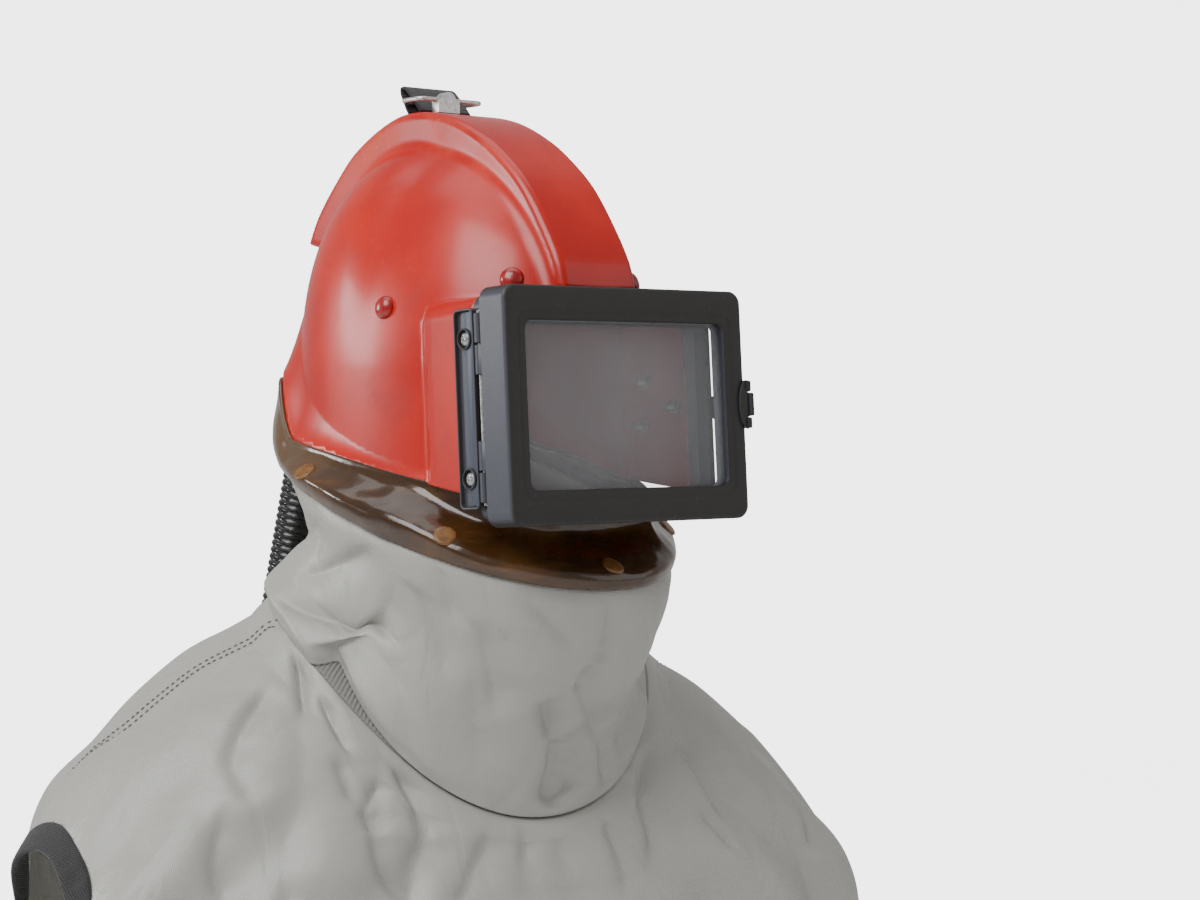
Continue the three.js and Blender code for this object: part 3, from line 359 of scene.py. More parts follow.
shell = {
    "half": 104, "front": 173, "rear": 113, "centre": -35, "square": 2.15,
    "springing": -112, "crown": 54, "crownPower": (2.3, 1.98),
    "wall": 3.5, "voxel": 2.9,
    "crestHalf": 34, "crestEdge": 6.5, "crestFillet": 8, "crestFrom": -174, "crestLong": 306,
    "crestFoot": -56, "crestTall": 132,
    "crest": [(0, .32), (.045, .49), (.12, .67), (.205, .83), (.33, .96), (.44, 1), (.58, .95), (.7, .83),
              (.785, .7), (.857, .555), (.92, .37), (.98, .15), (1, 0)],
    "crestInside": [(112, -80), (40, -60), (-60, -50), (-112, -26), (-125, -24.3), (-150, -19.5)],
    "boxHalf": 98.1, "boxTall": 75, "boxFront": 43.6, "boxCorner": 13, "boxEdge": 3, "boxBlend": 5,
    "box": [(0, 1, 1), (50, .965, .985), (58, .955, .98), (61, .935, .965), (70, .84, .9), (112, .8, .86)],
    "duct": [(-118, -68), (-150, -70), (-178, -78), (-194, -94), (-200, -112)], "ductRadius": 21,
    "hole": (91, 58.5, 9),
    "rivet": [(0.01, 5.2), (2.4, 5.0), (4.6, 4.35), (6.4, 3.2), (7.6, 1.8), (8.1, 0.6), (8.2, 0),
              (8.2, -1.6), (0.01, -1.6)],
}
windowTilt = np.radians(3.7)
windowOrigin = np.array([0, -163.0, -135.0])


def windowPoint(local):
    # window frame to row frame: leant back by the tilt about X, then moved
    x, y, z = np.moveaxis(np.asarray(local, float), -1, 0)
    c, s = np.cos(windowTilt), np.sin(windowTilt)
    return windowOrigin + np.stack([x, y * c + z * s, -y * s + z * c], -1)


def windowLocal(p):
    v = p - windowOrigin
    c, s = np.cos(windowTilt), np.sin(windowTilt)
    return np.stack([v[..., 0], v[..., 1] * c - v[..., 2] * s, v[..., 1] * s + v[..., 2] * c], -1)


def oval(a, half, front, rear, centre, square):
    # x = half |sin a|^(2/square), forward = centre + reach |cos a|^(2/square), each with its sign
    s, c = np.sin(a), np.cos(a)
    power = 2 / square
    reach = np.where(c > 0, front, rear)
    return half * np.sign(s) * np.abs(s) ** power, centre + reach * np.sign(c) * np.abs(c) ** power


def rimHeight(a):
    # a line that falls towards the front, raised behind the ears
    ahead = oval(a, shell["half"], shell["front"], shell["rear"], shell["centre"], shell["square"])[1]
    side = -204 + 0.2 * (138 - ahead)
    return mix(side, -116, ease(0.66, 0.86, (1 - np.cos(a)) / 2))


def flareOut(a, z):
    # how far the rim stands out: most at the rim, none above the crease
    rear = (1 - np.cos(a)) / 2
    above = (z - rimHeight(a)) / mix(8, 52, ease(0.35, 0.9, rear))
    low = np.log1p(np.exp(np.clip((1 - above) * 34, -30, 30))) / 34
    return mix(3, 17, ease(0.3, 0.9, rear)) * np.minimum(0.62 * low + 0.38 * low**3, 1.4)


def crownPower(ahead):
    # the dome is fuller behind than in front
    return mix(*shell["crownPower"], ease(0, 40, ahead))


def edgeGap(p, starts, ends):
    # squared distance in a plane to the nearest of some straight edges
    best = np.full(len(p), 1e9)
    for start, way in zip(starts, ends - starts):
        share = np.clip(((p - start) @ way) / (way @ way), 0, 1)
        best = np.minimum(best, ((p - start - share[:, None] * way) ** 2).sum(-1))
    return best


def polygonDistance(p, corners):
    # signed distance to a polygon in a plane: nearest edge, and inside where crossings are odd
    a, b = corners, np.roll(corners, -1, 0)
    inside = np.zeros(len(p), bool)
    for start, end in zip(a, b):
        way = end - start
        crosses = (start[1] > p[:, 1]) != (end[1] > p[:, 1])
        span = way[1] if abs(way[1]) > 1e-9 else 1e-9
        inside ^= crosses & (p[:, 0] < way[0] * (p[:, 1] - start[1]) / span + start[0])
    return np.where(inside, -1, 1) * np.sqrt(edgeGap(p, a, b))


def rounded(a, b, radius):
    # the common part of two solids, its edge rounded to a radius
    out = np.hypot(np.maximum(a + radius, 0), np.maximum(b + radius, 0)) - radius
    return out + np.minimum(np.maximum(a, b) + radius, 0)


def blended(a, b, width):
    # the sum of two solids with a fillet where both are close
    close = np.maximum(width - np.abs(a - b), 0) / width
    return np.minimum(a, b) - close * close * width / 4


def crestOutline():
    rows = through(shell["crest"], np.linspace(0, 1, 72))
    forward = shell["crestFrom"] + shell["crestLong"] * rows[:, 0]
    up = shell["crestFoot"] + shell["crestTall"] * rows[:, 1]
    return np.concatenate([np.stack([forward, up], -1), shell["crestInside"]])


def ductLine():
    return through(shell["duct"], np.linspace(0, 1, 24))


crestShape, ductShape = crestOutline(), ductLine()


def domeDistance(p):
    ahead = -p[:, 1] - shell["centre"]
    reach = np.where(ahead > 0, shell["front"], shell["rear"])
    square = shell["square"]
    s, c = (np.abs(p[:, 0]) / shell["half"]) ** square, (np.abs(ahead) / reach) ** square
    a = np.arctan2(np.sqrt(s), np.sign(ahead) * np.sqrt(c))
    flare = flareOut(a, p[:, 2])
    plan = ((np.abs(p[:, 0]) / (shell["half"] + flare)) ** square + (np.abs(ahead) / (reach + flare)) ** square) ** (
        1 / square
    )
    up = np.maximum(p[:, 2] - shell["springing"], 0)
    power = crownPower(ahead)
    size = (plan**power + (up / (shell["crown"] - shell["springing"])) ** power) ** (1 / power)
    far = np.sqrt(p[:, 0] ** 2 + ahead**2 + up**2)
    return (1 - 1 / np.maximum(size, 1e-3)) * far


def rectangleGap(local, half, tall, corner):
    # signed distance to a rounded rectangle in the window's plane
    dx, dz = np.abs(local[:, 0]) - half + corner, np.abs(local[:, 2]) - tall + corner
    return np.hypot(np.maximum(dx, 0), np.maximum(dz, 0)) + np.minimum(np.maximum(dx, dz), 0) - corner


def boxDistance(p):
    local = windowLocal(p)
    back = local[:, 1] - shell["boxFront"]
    table = np.array(shell["box"], float)
    wide = np.interp(back, table[:, 0], table[:, 1]) * shell["boxHalf"]
    tall = np.interp(back, table[:, 0], table[:, 2]) * shell["boxTall"]
    ring = rectangleGap(local, wide, tall, shell["boxCorner"])
    return np.maximum(rounded(ring, -back, shell["boxEdge"]), back - table[-1, 0])


def crestDistance(p):
    far = np.full(len(p), 60.0)
    near = (p[:, 2] > -100) & (np.abs(p[:, 0]) < 90)
    plane = polygonDistance(np.stack([-p[near, 1], p[near, 2]], -1), crestShape)
    far[near] = rounded(plane, np.abs(p[near, 0]) - shell["crestHalf"], shell["crestEdge"])
    return far


def ductDistance(p):
    far = np.full(len(p), 60.0)
    near = (-p[:, 1] < -100) & (np.abs(p[:, 0]) < 60)
    best = edgeGap(np.stack([-p[near, 1], p[near, 2]], -1), ductShape[:-1], ductShape[1:])
    far[near] = np.sqrt(best + p[near, 0] ** 2) - shell["ductRadius"]
    return far


def shellField(p):
    # negative inside the helmet: dome, face box, crest and duct, joined with fillets
    body = blended(domeDistance(p), boxDistance(p), shell["boxBlend"])
    body = blended(body, crestDistance(p), shell["crestFillet"])
    return blended(body, ductDistance(p), 12)


def fieldSlope(p, step=0.15):
    ways = np.eye(3) * step
    return np.stack([shellField(p + w) - shellField(p - w) for w in ways], -1) / (2 * step)


def ontoShell(p, rounds=5):
    # steps down the field's slope until the points lie on the surface
    for _ in range(rounds):
        slope = fieldSlope(p)
        step = shellField(p)[:, None] * slope / np.maximum((slope**2).sum(-1, keepdims=True), 0.05)
        p = p - np.clip(step, -3, 3)
    return p


def angleOf(p):
    ahead = -p[:, 1] - shell["centre"]
    reach = np.where(ahead > 0, shell["front"], shell["rear"])
    s, c = (np.abs(p[:, 0]) / shell["half"]), (np.abs(ahead) / reach)
    return np.arctan2(s ** (shell["square"] / 2), np.sign(ahead) * c ** (shell["square"] / 2))


def roughShell():
    # closed bodies that overlap: the dome, the face box, the crest and the duct
    rough = Build()
    a = np.linspace(0, 2 * np.pi, 128, endpoint=False)
    share = np.concatenate([np.linspace(-0.75, 0, 30)[:-1], np.sin(np.linspace(0, np.pi / 2, 34))[:-1], [0.998]])
    z = shell["springing"] + share * (shell["crown"] - shell["springing"])
    power = crownPower(60 * np.cos(a))[None]
    size = (1 - np.maximum(share, 0)[:, None] ** power) ** (1 / power)
    flare = flareOut(a[None], z[:, None])
    x, forward = oval(a[None], shell["half"], shell["front"], shell["rear"], 0, shell["square"])
    grow = size + flare / np.hypot(x, forward)
    rough.grid(point(x * grow, shell["centre"] + forward * grow, z[:, None] + 0 * x), caps=True)
    rows = []
    for back, wide, tall in shell["box"]:
        ring = roundedLoop(shell["boxHalf"] * wide, shell["boxTall"] * tall, shell["boxCorner"], 6)
        rows.append(np.stack([ring[:, 0], np.full(len(ring), shell["boxFront"] + back), ring[:, 1]], -1))
    rough.grid(windowPoint(np.stack(rows)), caps=True)
    x = np.array([-1, 1]) * shell["crestHalf"]
    rough.grid(point(x[:, None], crestShape[None, :, 0], crestShape[None, :, 1] + 0 * x[:, None]), caps=True)
    line = point(0 * ductShape[:, 0], ductShape[:, 0], ductShape[:, 1])
    line = np.concatenate([line, line[-1:] + 8 * unit(line[-1:] - line[-2:-1])])
    rough.grid(tube(line, shell["ductRadius"], 32), caps=True)
    mesh = bpy.data.meshes.new("rough")
    mesh.from_pydata(np.concatenate(rough.points).tolist(), [], rough.faces)
    return mesh


def roundedLoop(half, tall, corner, segments=8):
    # a rounded rectangle, counter-clockwise from the lower right corner
    turn = np.linspace(0, np.pi / 2, segments + 1)
    loop = []
    for k, (sx, sz) in enumerate([(1, -1), (1, 1), (-1, 1), (-1, -1)]):
        start = (k - 1) * np.pi / 2
        loop.append(np.stack([
            sx * (half - corner) + corner * np.cos(start + turn), sz * (tall - corner) + corner * np.sin(start + turn)
        ], -1))
    return np.concatenate(loop)


def cutAway(bm, value):
    # splits the faces where a value given at the points changes sign, and drops the negative side
    held = {v: value[i] for i, v in enumerate(bm.verts)}
    fresh = []
    for edge in list(bm.edges):
        a, b = edge.verts
        if (held[a] < 0) != (held[b] < 0):
            share = held[a] / (held[a] - held[b])
            made = bmesh.utils.edge_split(edge, a, float(np.clip(share, 0.02, 0.98)))[1]
            held[made] = 0.0
            fresh.append(made)
    bmesh.ops.connect_verts(bm, verts=fresh)
    gone = [f for f in bm.faces if sum(held[v] for v in f.verts) < 0]
    bmesh.ops.delete(bm, geom=gone, context="FACES")


def pointsOf(bm):
    return np.array([v.co for v in bm.verts])


def settle(bm):
    # moves the skin's points onto the field
    for v, co in zip(bm.verts, ontoShell(pointsOf(bm), 3)):
        v.co = co


def makeShell():
    # the rough bodies are remeshed as one skin, moved onto the field, cut at the rim, the window and
    # the duct's end, and given a wall with a rounded lip
    holder = bpy.data.objects.new("rough", roughShell())
    scene.collection.objects.link(holder)
    remesh = holder.modifiers.new("skin", "REMESH")
    remesh.mode, remesh.voxel_size = "VOXEL", shell["voxel"]
    skin = holder.evaluated_get(bpy.context.evaluated_depsgraph_get()).to_mesh()
    bm = bmesh.new()
    bm.from_mesh(skin)
    holder.evaluated_get(bpy.context.evaluated_depsgraph_get()).to_mesh_clear()
    bpy.data.objects.remove(holder)
    print("shell skin:", len(bm.verts), "points")
    settle(bm)
    bmesh.ops.smooth_vert(bm, verts=bm.verts, factor=0.5, use_axis_x=True, use_axis_y=True, use_axis_z=True)
    settle(bm)
    p = pointsOf(bm)
    cutAway(bm, p[:, 2] - rimHeight(angleOf(p)))
    local = windowLocal(pointsOf(bm))
    cutAway(bm, np.where(local[:, 1] < shell["boxFront"] + 20, rectangleGap(local, *shell["hole"]), 20.0))
    p = pointsOf(bm)
    near = np.linalg.norm(p - socketAt, axis=1) < 40
    cutAway(bm, np.where(near, -((p - socketAt) @ socketWay), 20.0))
    p = pointsOf(bm)
    bm.verts.index_update()
    faces = [[v.index for v in f.verts] for f in bm.faces]
    bm.free()
    p = ontoShell(p, 2)
    normal = unit(fieldSlope(p))
    inner = p - normal * shell["wall"]
    count = len(p)
    # the boundary runs of the skin, and which way is out of the wall there
    edges = {}
    for f in faces:
        for a, b in zip(f, f[1:] + f[:1]):
            edges[(a, b)] = True
    rim = [(a, b) for a, b in edges if (b, a) not in edges]
    rimEnds = np.array(rim)
    along = p[rimEnds[:, 1]] - p[rimEnds[:, 0]]
    out = np.zeros_like(p)
    np.add.at(out, rimEnds[:, 0], np.cross(along, normal[rimEnds[:, 0]]))
    np.add.at(out, rimEnds[:, 1], np.cross(along, normal[rimEnds[:, 1]]))
    out = unit(out)
    lipPoints = np.unique(rimEnds)
    place = {v: k for k, v in enumerate(lipPoints)}
    middle = (p + inner)[lipPoints] / 2
    lips = [lipPoints]
    made, normals = [p, inner], [normal, -normal]
    for k in (1, 2, 3):
        turn = np.pi * k / 4
        bulge = np.cos(turn) * normal[lipPoints] + np.sin(turn) * out[lipPoints]
        lips.append(np.arange(len(lipPoints)) + 2 * count + (k - 1) * len(lipPoints))
        made.append(middle + bulge * shell["wall"] / 2)
        normals.append(bulge)
    lips.append(lipPoints + count)
    walls = faces + [[v + count for v in f[::-1]] for f in faces]
    for a, b in rim:
        for upper, lower in zip(lips[:-1], lips[1:]):
            walls.append([upper[place[b]], upper[place[a]], lower[place[a]], lower[place[b]]])
    body = Build()
    body.add(np.concatenate(made), [[int(v) for v in f] for f in walls], closed=False)
    piece = body.piece("shell_body", replaces=["helmet_shell"], slot="shell")
    piece.data.normals_split_custom_set_from_vertices(np.concatenate(normals).tolist())
    return piece


shellBody = makeShell()


def makeRivet(node, name):
    # a full dome that stands square on the helmet's own curve
    at = np.array([nodeCentre(node)])
    for _ in range(8):
        slope = np.stack([domeDistance(at + w) - domeDistance(at - w) for w in np.eye(3) * 0.2], -1) / 0.4
        at = at - domeDistance(at)[:, None] * slope / (slope**2).sum(-1, keepdims=True)
    rows = through(shell["rivet"], np.linspace(0, 1, 34))
    return Build().grid(stood(lathe(rows, 40), at[0], slope[0]), caps=True).piece(name, replaces=[node], slot="rivet")


rivets = [makeRivet(n, n.replace("shell_", "")) for n in frame["nodes"] if n.startswith("shell_rivet")]
print("helmet done")

# window

window = {
    # rows of half width, half height, corner radius and depth behind the door's front
    "door": [(104.4, 77.9, 8.4, 27), (105, 78.5, 9, 26.3), (105, 78.5, 9, 14), (105, 78.5, 9, 3.6),
             (104.8, 78.3, 8.9, 2.2), (104.1, 77.6, 8.4, 1), (103, 76.5, 7.5, .3), (101.6, 75.1, 6.6, 0),
             (95, 63, 9.5, 0), (94.5, 62.5, 9.2, .1), (94, 62, 9, .45), (93.5, 61.5, 8.7, .8), (93, 61, 8.5, .9),
             (89, 57, 7.6, .9), (88.2, 56.2, 7.2, 1.1), (87.6, 55.6, 7, 1.8), (87.5, 55.5, 7, 2.6),
             (87.5, 55.5, 7, 5.3), (88.1, 56.1, 7.4, 6), (97.5, 71.6, 6, 6), (98.9, 72.7, 6, 6.5),
             (99.5, 73, 6, 7.8), (99.5, 73, 6, 26.3), (100.1, 73.6, 6.5, 27)],
    "retainer": [(98.6, 72.1, 5.4, 9.6), (99.2, 72.7, 6, 10.1), (99.2, 72.7, 6, 13.1), (98.6, 72.1, 5.4, 13.6),
                 (88.3, 56.3, 7.4, 13.6), (87.6, 55.6, 7, 13.2), (87.6, 55.6, 7, 10), (88.3, 56.3, 7.4, 9.6)],
    "base": [(96.3, 74.3, 8.3, 27.7), (97, 75, 9, 28.4), (97, 75, 9, 42.5), (96.3, 74.3, 8.3, 43.2),
             (89.2, 57.2, 7.6, 43.2), (88.5, 56.5, 7, 42.5), (88.5, 56.5, 7, 21.3), (89.1, 57.1, 7.4, 20.7),
             (92.8, 60.8, 8.4, 20.7), (93.5, 61.5, 9, 21.4), (93.5, 61.5, 9, 27.2), (93.7, 61.7, 9, 27.7)],
    "knuckle": 4, "hinge": (-101, 31.6), "pin": 1.8,
    "doorKnuckles": [(21.6, 41.2), (-41.2, -21.6)],
    "baseKnuckles": [(42.2, 62), (-62, -42.2)],
    "flange": [(9.9, 65.4, 3.6, 98.5), (10.4, 65.9, 4.1, 98.9), (10.5, 66, 4.2, 102.4), (10.35, 65.85, 4, 103.0),
               (9.9, 65.4, 3.6, 103.3), (9.3, 64.8, 3.1, 103.3), (8.9, 64.4, 2.8, 103.0), (8.75, 64.25, 2.7, 102.5),
               (8.7, 64.2, 2.6, 100.7), (8.3, 63.8, 2.2, 100.2)],
    "flangeMiddle": 47.1, "screwAt": 46, "floor": 100.2, "latch": (107.6, 1.5), "latchHalf": 8,
    "latchPlate": (104.7, 6.6, 16.5), "latchEars": [(9, 16.4), (-16.4, -9)],
    # half width, half height, corner, front and back of each pane
    "outerPane": (94.5, 62.5, 7, 6.3, 9.3), "backPane": (88.1, 56.1, 7, 30.6, 33.6), "paneEdge": 0.5,
    "nut": [(4.4, 0), (4.5, 0.5), (4.5, 1.1), (4.0, 1.4), (4.0, 2.7), (3.6, 3.0), (2.5, 3.1)],
    "boss": [(7.2, -0.3), (7.2, 2.3), (6.95, 2.9), (6.5, 3.1), (6.2, 2.9), (5.95, 2.3), (5.95, -0.3)],
}


def ringRows(rows, segments=8):
    # a closed profile carried round rounded rectangles in the window frame
    loops = []
    for half, tall, corner, back in rows:
        loop = roundedLoop(half, tall, corner, segments)
        loops.append(np.stack([loop[:, 0], np.full(len(loop), back), loop[:, 1]], -1))
    return windowPoint(np.stack(loops))


def slab(low, high, axis, corner=1.0, edge=0.5, segments=4):
    # a box with rounded corners across the axis and rounded ends along it
    low, high = np.array(low, float), np.array(high, float)
    others = [k for k in range(3) if k != axis]
    half, middle = (high - low) / 2, (high + low) / 2
    rows = []
    for along, inset in [(0, 1), (0.3, 0.3), (1, 0)]:
        rows.append((low[axis] + edge * along, edge * inset))
    rows += [(high[axis] + low[axis] - at, inset) for at, inset in rows[::-1]]
    loops = []
    for at, inset in rows:
        a, b = half[others[0]] - inset, half[others[1]] - inset
        loop = roundedLoop(a, b, min(max(corner - inset, 0.05), a, b), segments)
        spot = np.empty((len(loop), 3))
        spot[:, axis] = at
        spot[:, others[0]], spot[:, others[1]] = loop[:, 0] + middle[others[0]], loop[:, 1] + middle[others[1]]
        loops.append(spot)
    return np.stack(loops)


def barrel(x, y, low, high, radius, edge=0.5, sides=28):
    pairs = [(radius - edge, low), (radius, low + edge), (radius, high - edge), (radius - edge, high)]
    return lathe(pairs, sides) + np.array([x, y, 0.0])


def addKnuckles(made, ranges, corner, opposite):
    # round knuckles on the hinge line, each joined to its frame by a small block
    for low, high in ranges:
        made.grid(windowPoint(barrel(*window["hinge"], low, high, window["knuckle"])), caps=True)
        made.grid(windowPoint(slab((*corner, low), (*opposite, high), 2, 0.8)), caps=True)


def makeDoor():
    x, y = window["hinge"]
    made = Build().grid(ringRows(window["door"], 10), closedRows=True)
    addKnuckles(made, window["doorKnuckles"], (x - 3.6, 26), (x + 2.4, y))
    return made.piece("door_shell", "door", ["door_frame"], "frame", sharp=40)


def makeBase():
    x, y = window["hinge"]
    made = Build().grid(ringRows(window["base"]), closedRows=True)
    addKnuckles(made, window["baseKnuckles"], (x, y - 2.6), (x + 7, y + 2.6))
    middle = window["flangeMiddle"]
    for side in (-1, 1):
        loops = []
        for deep, tall, corner, out in window["flange"]:
            loop = roundedLoop(deep, tall, corner, 6)
            loops.append(np.stack([np.full(len(loop), side * out), loop[:, 0] + middle, loop[:, 1]], -1))
        made.grid(windowPoint(np.stack(loops)), caps=True)
        web = slab((min(side * 94, side * 99), 36.6, -65.6), (max(side * 94, side * 99), 43.2, 65.6), 0, 1)
        made.grid(windowPoint(web), caps=True)
        for level in (-1, 1):
            at = np.array([side * window["floor"], middle, level * window["screwAt"]])
            made.grid(windowPoint(stood(lathe(window["boss"], 36), at, [side, 0, 0])), closedRows=True)
    return made.piece("window_carrier", "hood", ["window_base"], "frame", sharp=40)


def makeFlangeSlab(side):
    # the lighter strip that lies in the forward half of the bracket
    low, high = sorted([side * 99.9, side * 101.7])
    shape = windowPoint(slab((low, 38.5, -63.9), (high, 46.6, 63.9), 0, 1.6, 0.5, 6))
    name = "bracket_strip_" + sideName(side)
    return Build().grid(shape, caps=True).piece(name, "hood", [], "zinc", sharp=40)


def makeScrew(node):
    # a low domed head with a cross cut into it
    side = 1 if "left" in node else -1
    level = 1 if "upper" in node else -1
    at = np.array([side * window["floor"], window["flangeMiddle"], level * window["screwAt"]])
    radius = np.concatenate([np.linspace(0.05, 3.6, 26), [3.9, 4.15, 4.2, 4.2]])
    turn = np.linspace(0, 2 * np.pi, 96, endpoint=False)
    x, y = np.outer(radius, np.cos(turn)), np.outer(radius, np.sin(turn))
    height = 2.8 - 0.9 * (radius / 3.9) ** 2
    height[-3:] = [1.7, 1.2, 0.3]
    c, s = np.cos(0.5), np.sin(0.5)
    u, v = np.abs(x * c + y * s), np.abs(x * s - y * c)
    arm = np.minimum(np.maximum(u, v), 9)
    cut = ease(0.75, 0.45, np.minimum(u, v)) * ease(2.7, 2.2, arm)
    points = np.stack([x, y, height[:, None] - 1.1 * cut], -1)
    name = node.replace("base_screw", "bracket_screw")
    return Build().grid(windowPoint(stood(points, at, [side, 0, 0])), caps=True).piece(name, "hood", [node], "zinc")


def makePane(name, node, sizes, body):
    half, tall, corner, front, back = sizes
    edge = window["paneEdge"]
    rows = [(half - edge, tall - edge, corner - edge, front), (half, tall, corner, front + edge),
            (half, tall, corner, back - edge), (half - edge, tall - edge, corner - edge, back)]
    return Build().grid(ringRows(rows), caps=True).piece(name, body, [node], "pane", sharp=30)


def makeLatchBase():
    # half a disc behind the door's edge, with an ear at each end
    turn = np.linspace(np.pi / 2, 1.5 * np.pi, 25)
    middle, wide, tall = window["latchPlate"]
    rows = []
    for inset, back in [(0.5, -2.1), (0.1, -1.95), (0, -1.6), (0, -0.7), (0.3, -0.3)]:
        x, z = middle + (wide - inset) * np.cos(turn), (tall - inset) * np.sin(turn)
        rows.append(np.stack([x, 0 * turn + back, z], -1))
    made = Build().grid(windowPoint(np.stack(rows)), caps=True)
    for low, high in window["latchEars"]:
        made.grid(windowPoint(barrel(*window["latch"], low, high, 3.3, 0.7)), caps=True)
        made.grid(windowPoint(slab((101.9, -2.1, low), (107.4, -0.3, high), 2, 0.6)), caps=True)
    return made.piece("latch_ears", "door", ["latch_base"], "frame", sharp=40)


def makeLatchLever():
    half = window["latchHalf"]
    made = Build().grid(windowPoint(barrel(*window["latch"], -half - 0.2, half + 0.2, 2.7)), caps=True)
    made.grid(windowPoint(slab((107.3, 0, -half), (110.4, 38.8, half), 0, 3, 0.9, 6)), caps=True)
    made.grid(windowPoint(slab((107.4, -3.6, -half), (110.2, 2.5, half), 0, 1.2, 0.8, 5)), caps=True)
    return made.piece("latch_tab", "latch", ["latch_lever"], "frame", sharp=40)


doorShell = makeDoor()
windowCarrier = makeBase()
bracketStrips = [makeFlangeSlab(-1), makeFlangeSlab(1)]
bracketScrews = [makeScrew(n) for n in frame["nodes"] if n.startswith("base_screw")]
retainerRing = Build().grid(ringRows(window["retainer"]), closedRows=True).piece(
    "lens_ring", "door", ["lens_retainer"], "retainer", sharp=40
)
outerPane = makePane("outer_pane", "door_lens", window["outerPane"], "door")
backPane = makePane("back_pane", "inner_pane", window["backPane"], "hood")
latchEars, latchTab = makeLatchBase(), makeLatchLever()
pinShape = windowPoint(barrel(*window["latch"], -16.9, 16.9, 1.2, 0.4, 16))
latchPin = Build().grid(pinShape, caps=True).piece("latch_rod", "door", ["latch_pin"], "zinc", sharp=40)
pinShape = windowPoint(barrel(*window["hinge"], -64, 64, window["pin"], 0.6, 20))
hingePin = Build().grid(pinShape, caps=True).piece("hinge_rod", "hood", ["hinge_pin"], "zinc", sharp=40)


def makeInnerBolt(node, k):
    # a round flange nut and a threaded end that points across the helmet
    low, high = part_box(node)
    size, middle = np.array(high - low) / millimetre, nodeCentre(node)
    base = np.array([middle[0] + size[0] / 2, middle[1], middle[2]])
    thread = []
    for h in np.arange(3.2, 8.6, 0.6):
        thread += [(2.4, h), (2.15, h + 0.3)]
    rows = window["nut"] + thread + [(1.9, 9)]
    bolt = Build().grid(stood(lathe(rows, 24), base, [-1.0, 0, 0]), caps=True)
    return bolt.piece(f"cheek_bolt_{k}", "hood", [node], "zinc", sharp=40)


innerBolts = [makeInnerBolt(f"inner_bolt_{k}", k) for k in (1, 2, 3)]
print("window done")

# collar

columns = 360
around = np.linspace(-np.pi, np.pi, columns + 1)[:-1]
studNodes = [f"collar_stud_{k}" for k in range(1, 9)]
collar = {
    "half": 130, "front": 165, "rear": 161, "centre": -12, "square": 2.1,
    "edge": -210, "slope": 0.315, "bulge": 8, "wall": 3, "round": 135, "tall": 70,
    "sections": [(0, .1), (.16, .55), (.42, .95), (.7, 1), (.9, .75), (1, .45)],
    "stud": [(0.02, 1.0), (3.0, 1.0), (5.6, 0.95), (6.9, 0.8), (7.5, 0.45), (7.7, 0), (7.6, -0.8), (0.02, -0.8)],
    # dents: angle, share down, width, height, depth
    "dents": [(-38, .72, 15, 9, .9), (-20, .5, 22, 12, .7), (-80, .6, 20, 12, .8), (8, .75, 14, 8, 1.0),
              (30, .6, 18, 9, .7)],
}


def collarBottom(forward):
    return collar["edge"] - collar["slope"] * forward


def onCollar(a, down, out):
    # from the shell's rim to an oval that slopes down to the front, bulging by the section table
    rim = rimHeight(a)
    flare = mix(3, 17, ease(0.3, 0.9, (1 - np.cos(a)) / 2))
    rimX, rimForward = oval(
        a, shell["half"] + flare, shell["front"] + flare, shell["rear"] + flare, shell["centre"], shell["square"]
    )
    rimForward = np.minimum(rimForward, 115.4)
    x, forward = oval(a, collar["half"], collar["front"], collar["rear"], collar["centre"], collar["square"])
    z = mix(rim - 0.4, collarBottom(forward), down)
    atFront = 1 - ease(0.12, 0.3, (1 - np.cos(a)) / 2)
    spread = ease(0.3 * atFront, mix(0.7, 0.92, atFront), down)
    reach = collar["bulge"] * (out - 1) * spread
    away = np.hypot(x, forward - collar["centre"])
    x, forward = x + x / away * reach, forward + (forward - collar["centre"]) / away * reach
    return point(mix(rimX, x, spread), mix(rimForward, forward, spread), z)


def walledRows(points, normals, wall, lip=3):
    # outer rows, a round lip, inner rows back up and a second lip: one closed skin
    inner = points - normals * wall

    def lipRows(edge, normal, out):
        middle = edge - normal * wall / 2
        turns = np.pi * np.arange(1, lip + 1) / (lip + 1)
        return np.stack([middle + wall / 2 * (np.cos(t) * normal + np.sin(t) * out) for t in turns])

    last = lipRows(points[-1], normals[-1], unit(points[-1] - points[-2]))
    first = lipRows(points[0], normals[0], unit(points[0] - points[1]))[::-1]
    return np.concatenate([points, last, inner[::-1], first])


def makeCollar():
    share = np.linspace(0, 1, 64)
    down, out = through(collar["sections"], share).T
    points = onCollar(around[None], down[:, None], out[:, None])
    normals = -gridNormals(points, closedColumns=True)
    press = 0.45 * waves(points, 60, 5) + 0.2 * waves(points, 22, 6)
    for angle, level, wide, tall, depth in collar["dents"]:
        across = (around - np.radians(angle)) * collar["round"] / wide
        along = (down - level) * collar["tall"] / tall
        press = press - depth * np.exp(-(across[None] ** 2) - along[:, None] ** 2)
    press = press * ease(0, 0.15, down)[:, None]
    # flat under each snap
    plain = points.copy(), normals.copy()
    for node in studNodes:
        press = press * ease(9, 16, np.linalg.norm(points - nodeCentre(node), axis=-1))
    # a thicker rolled hem at the lower edge
    hem = 0.7 * np.exp(-(((1 - down) * collar["tall"] / 3.2) ** 2))
    points = points + normals * (press + hem[:, None])[..., None]
    made = Build().grid(walledRows(points, normals, collar["wall"]), closedRows=True)
    return made.piece("neck_collar", "hood", ["collar"], "rubber"), *plain


neckCollar, collarPoints, collarNormals = makeCollar()


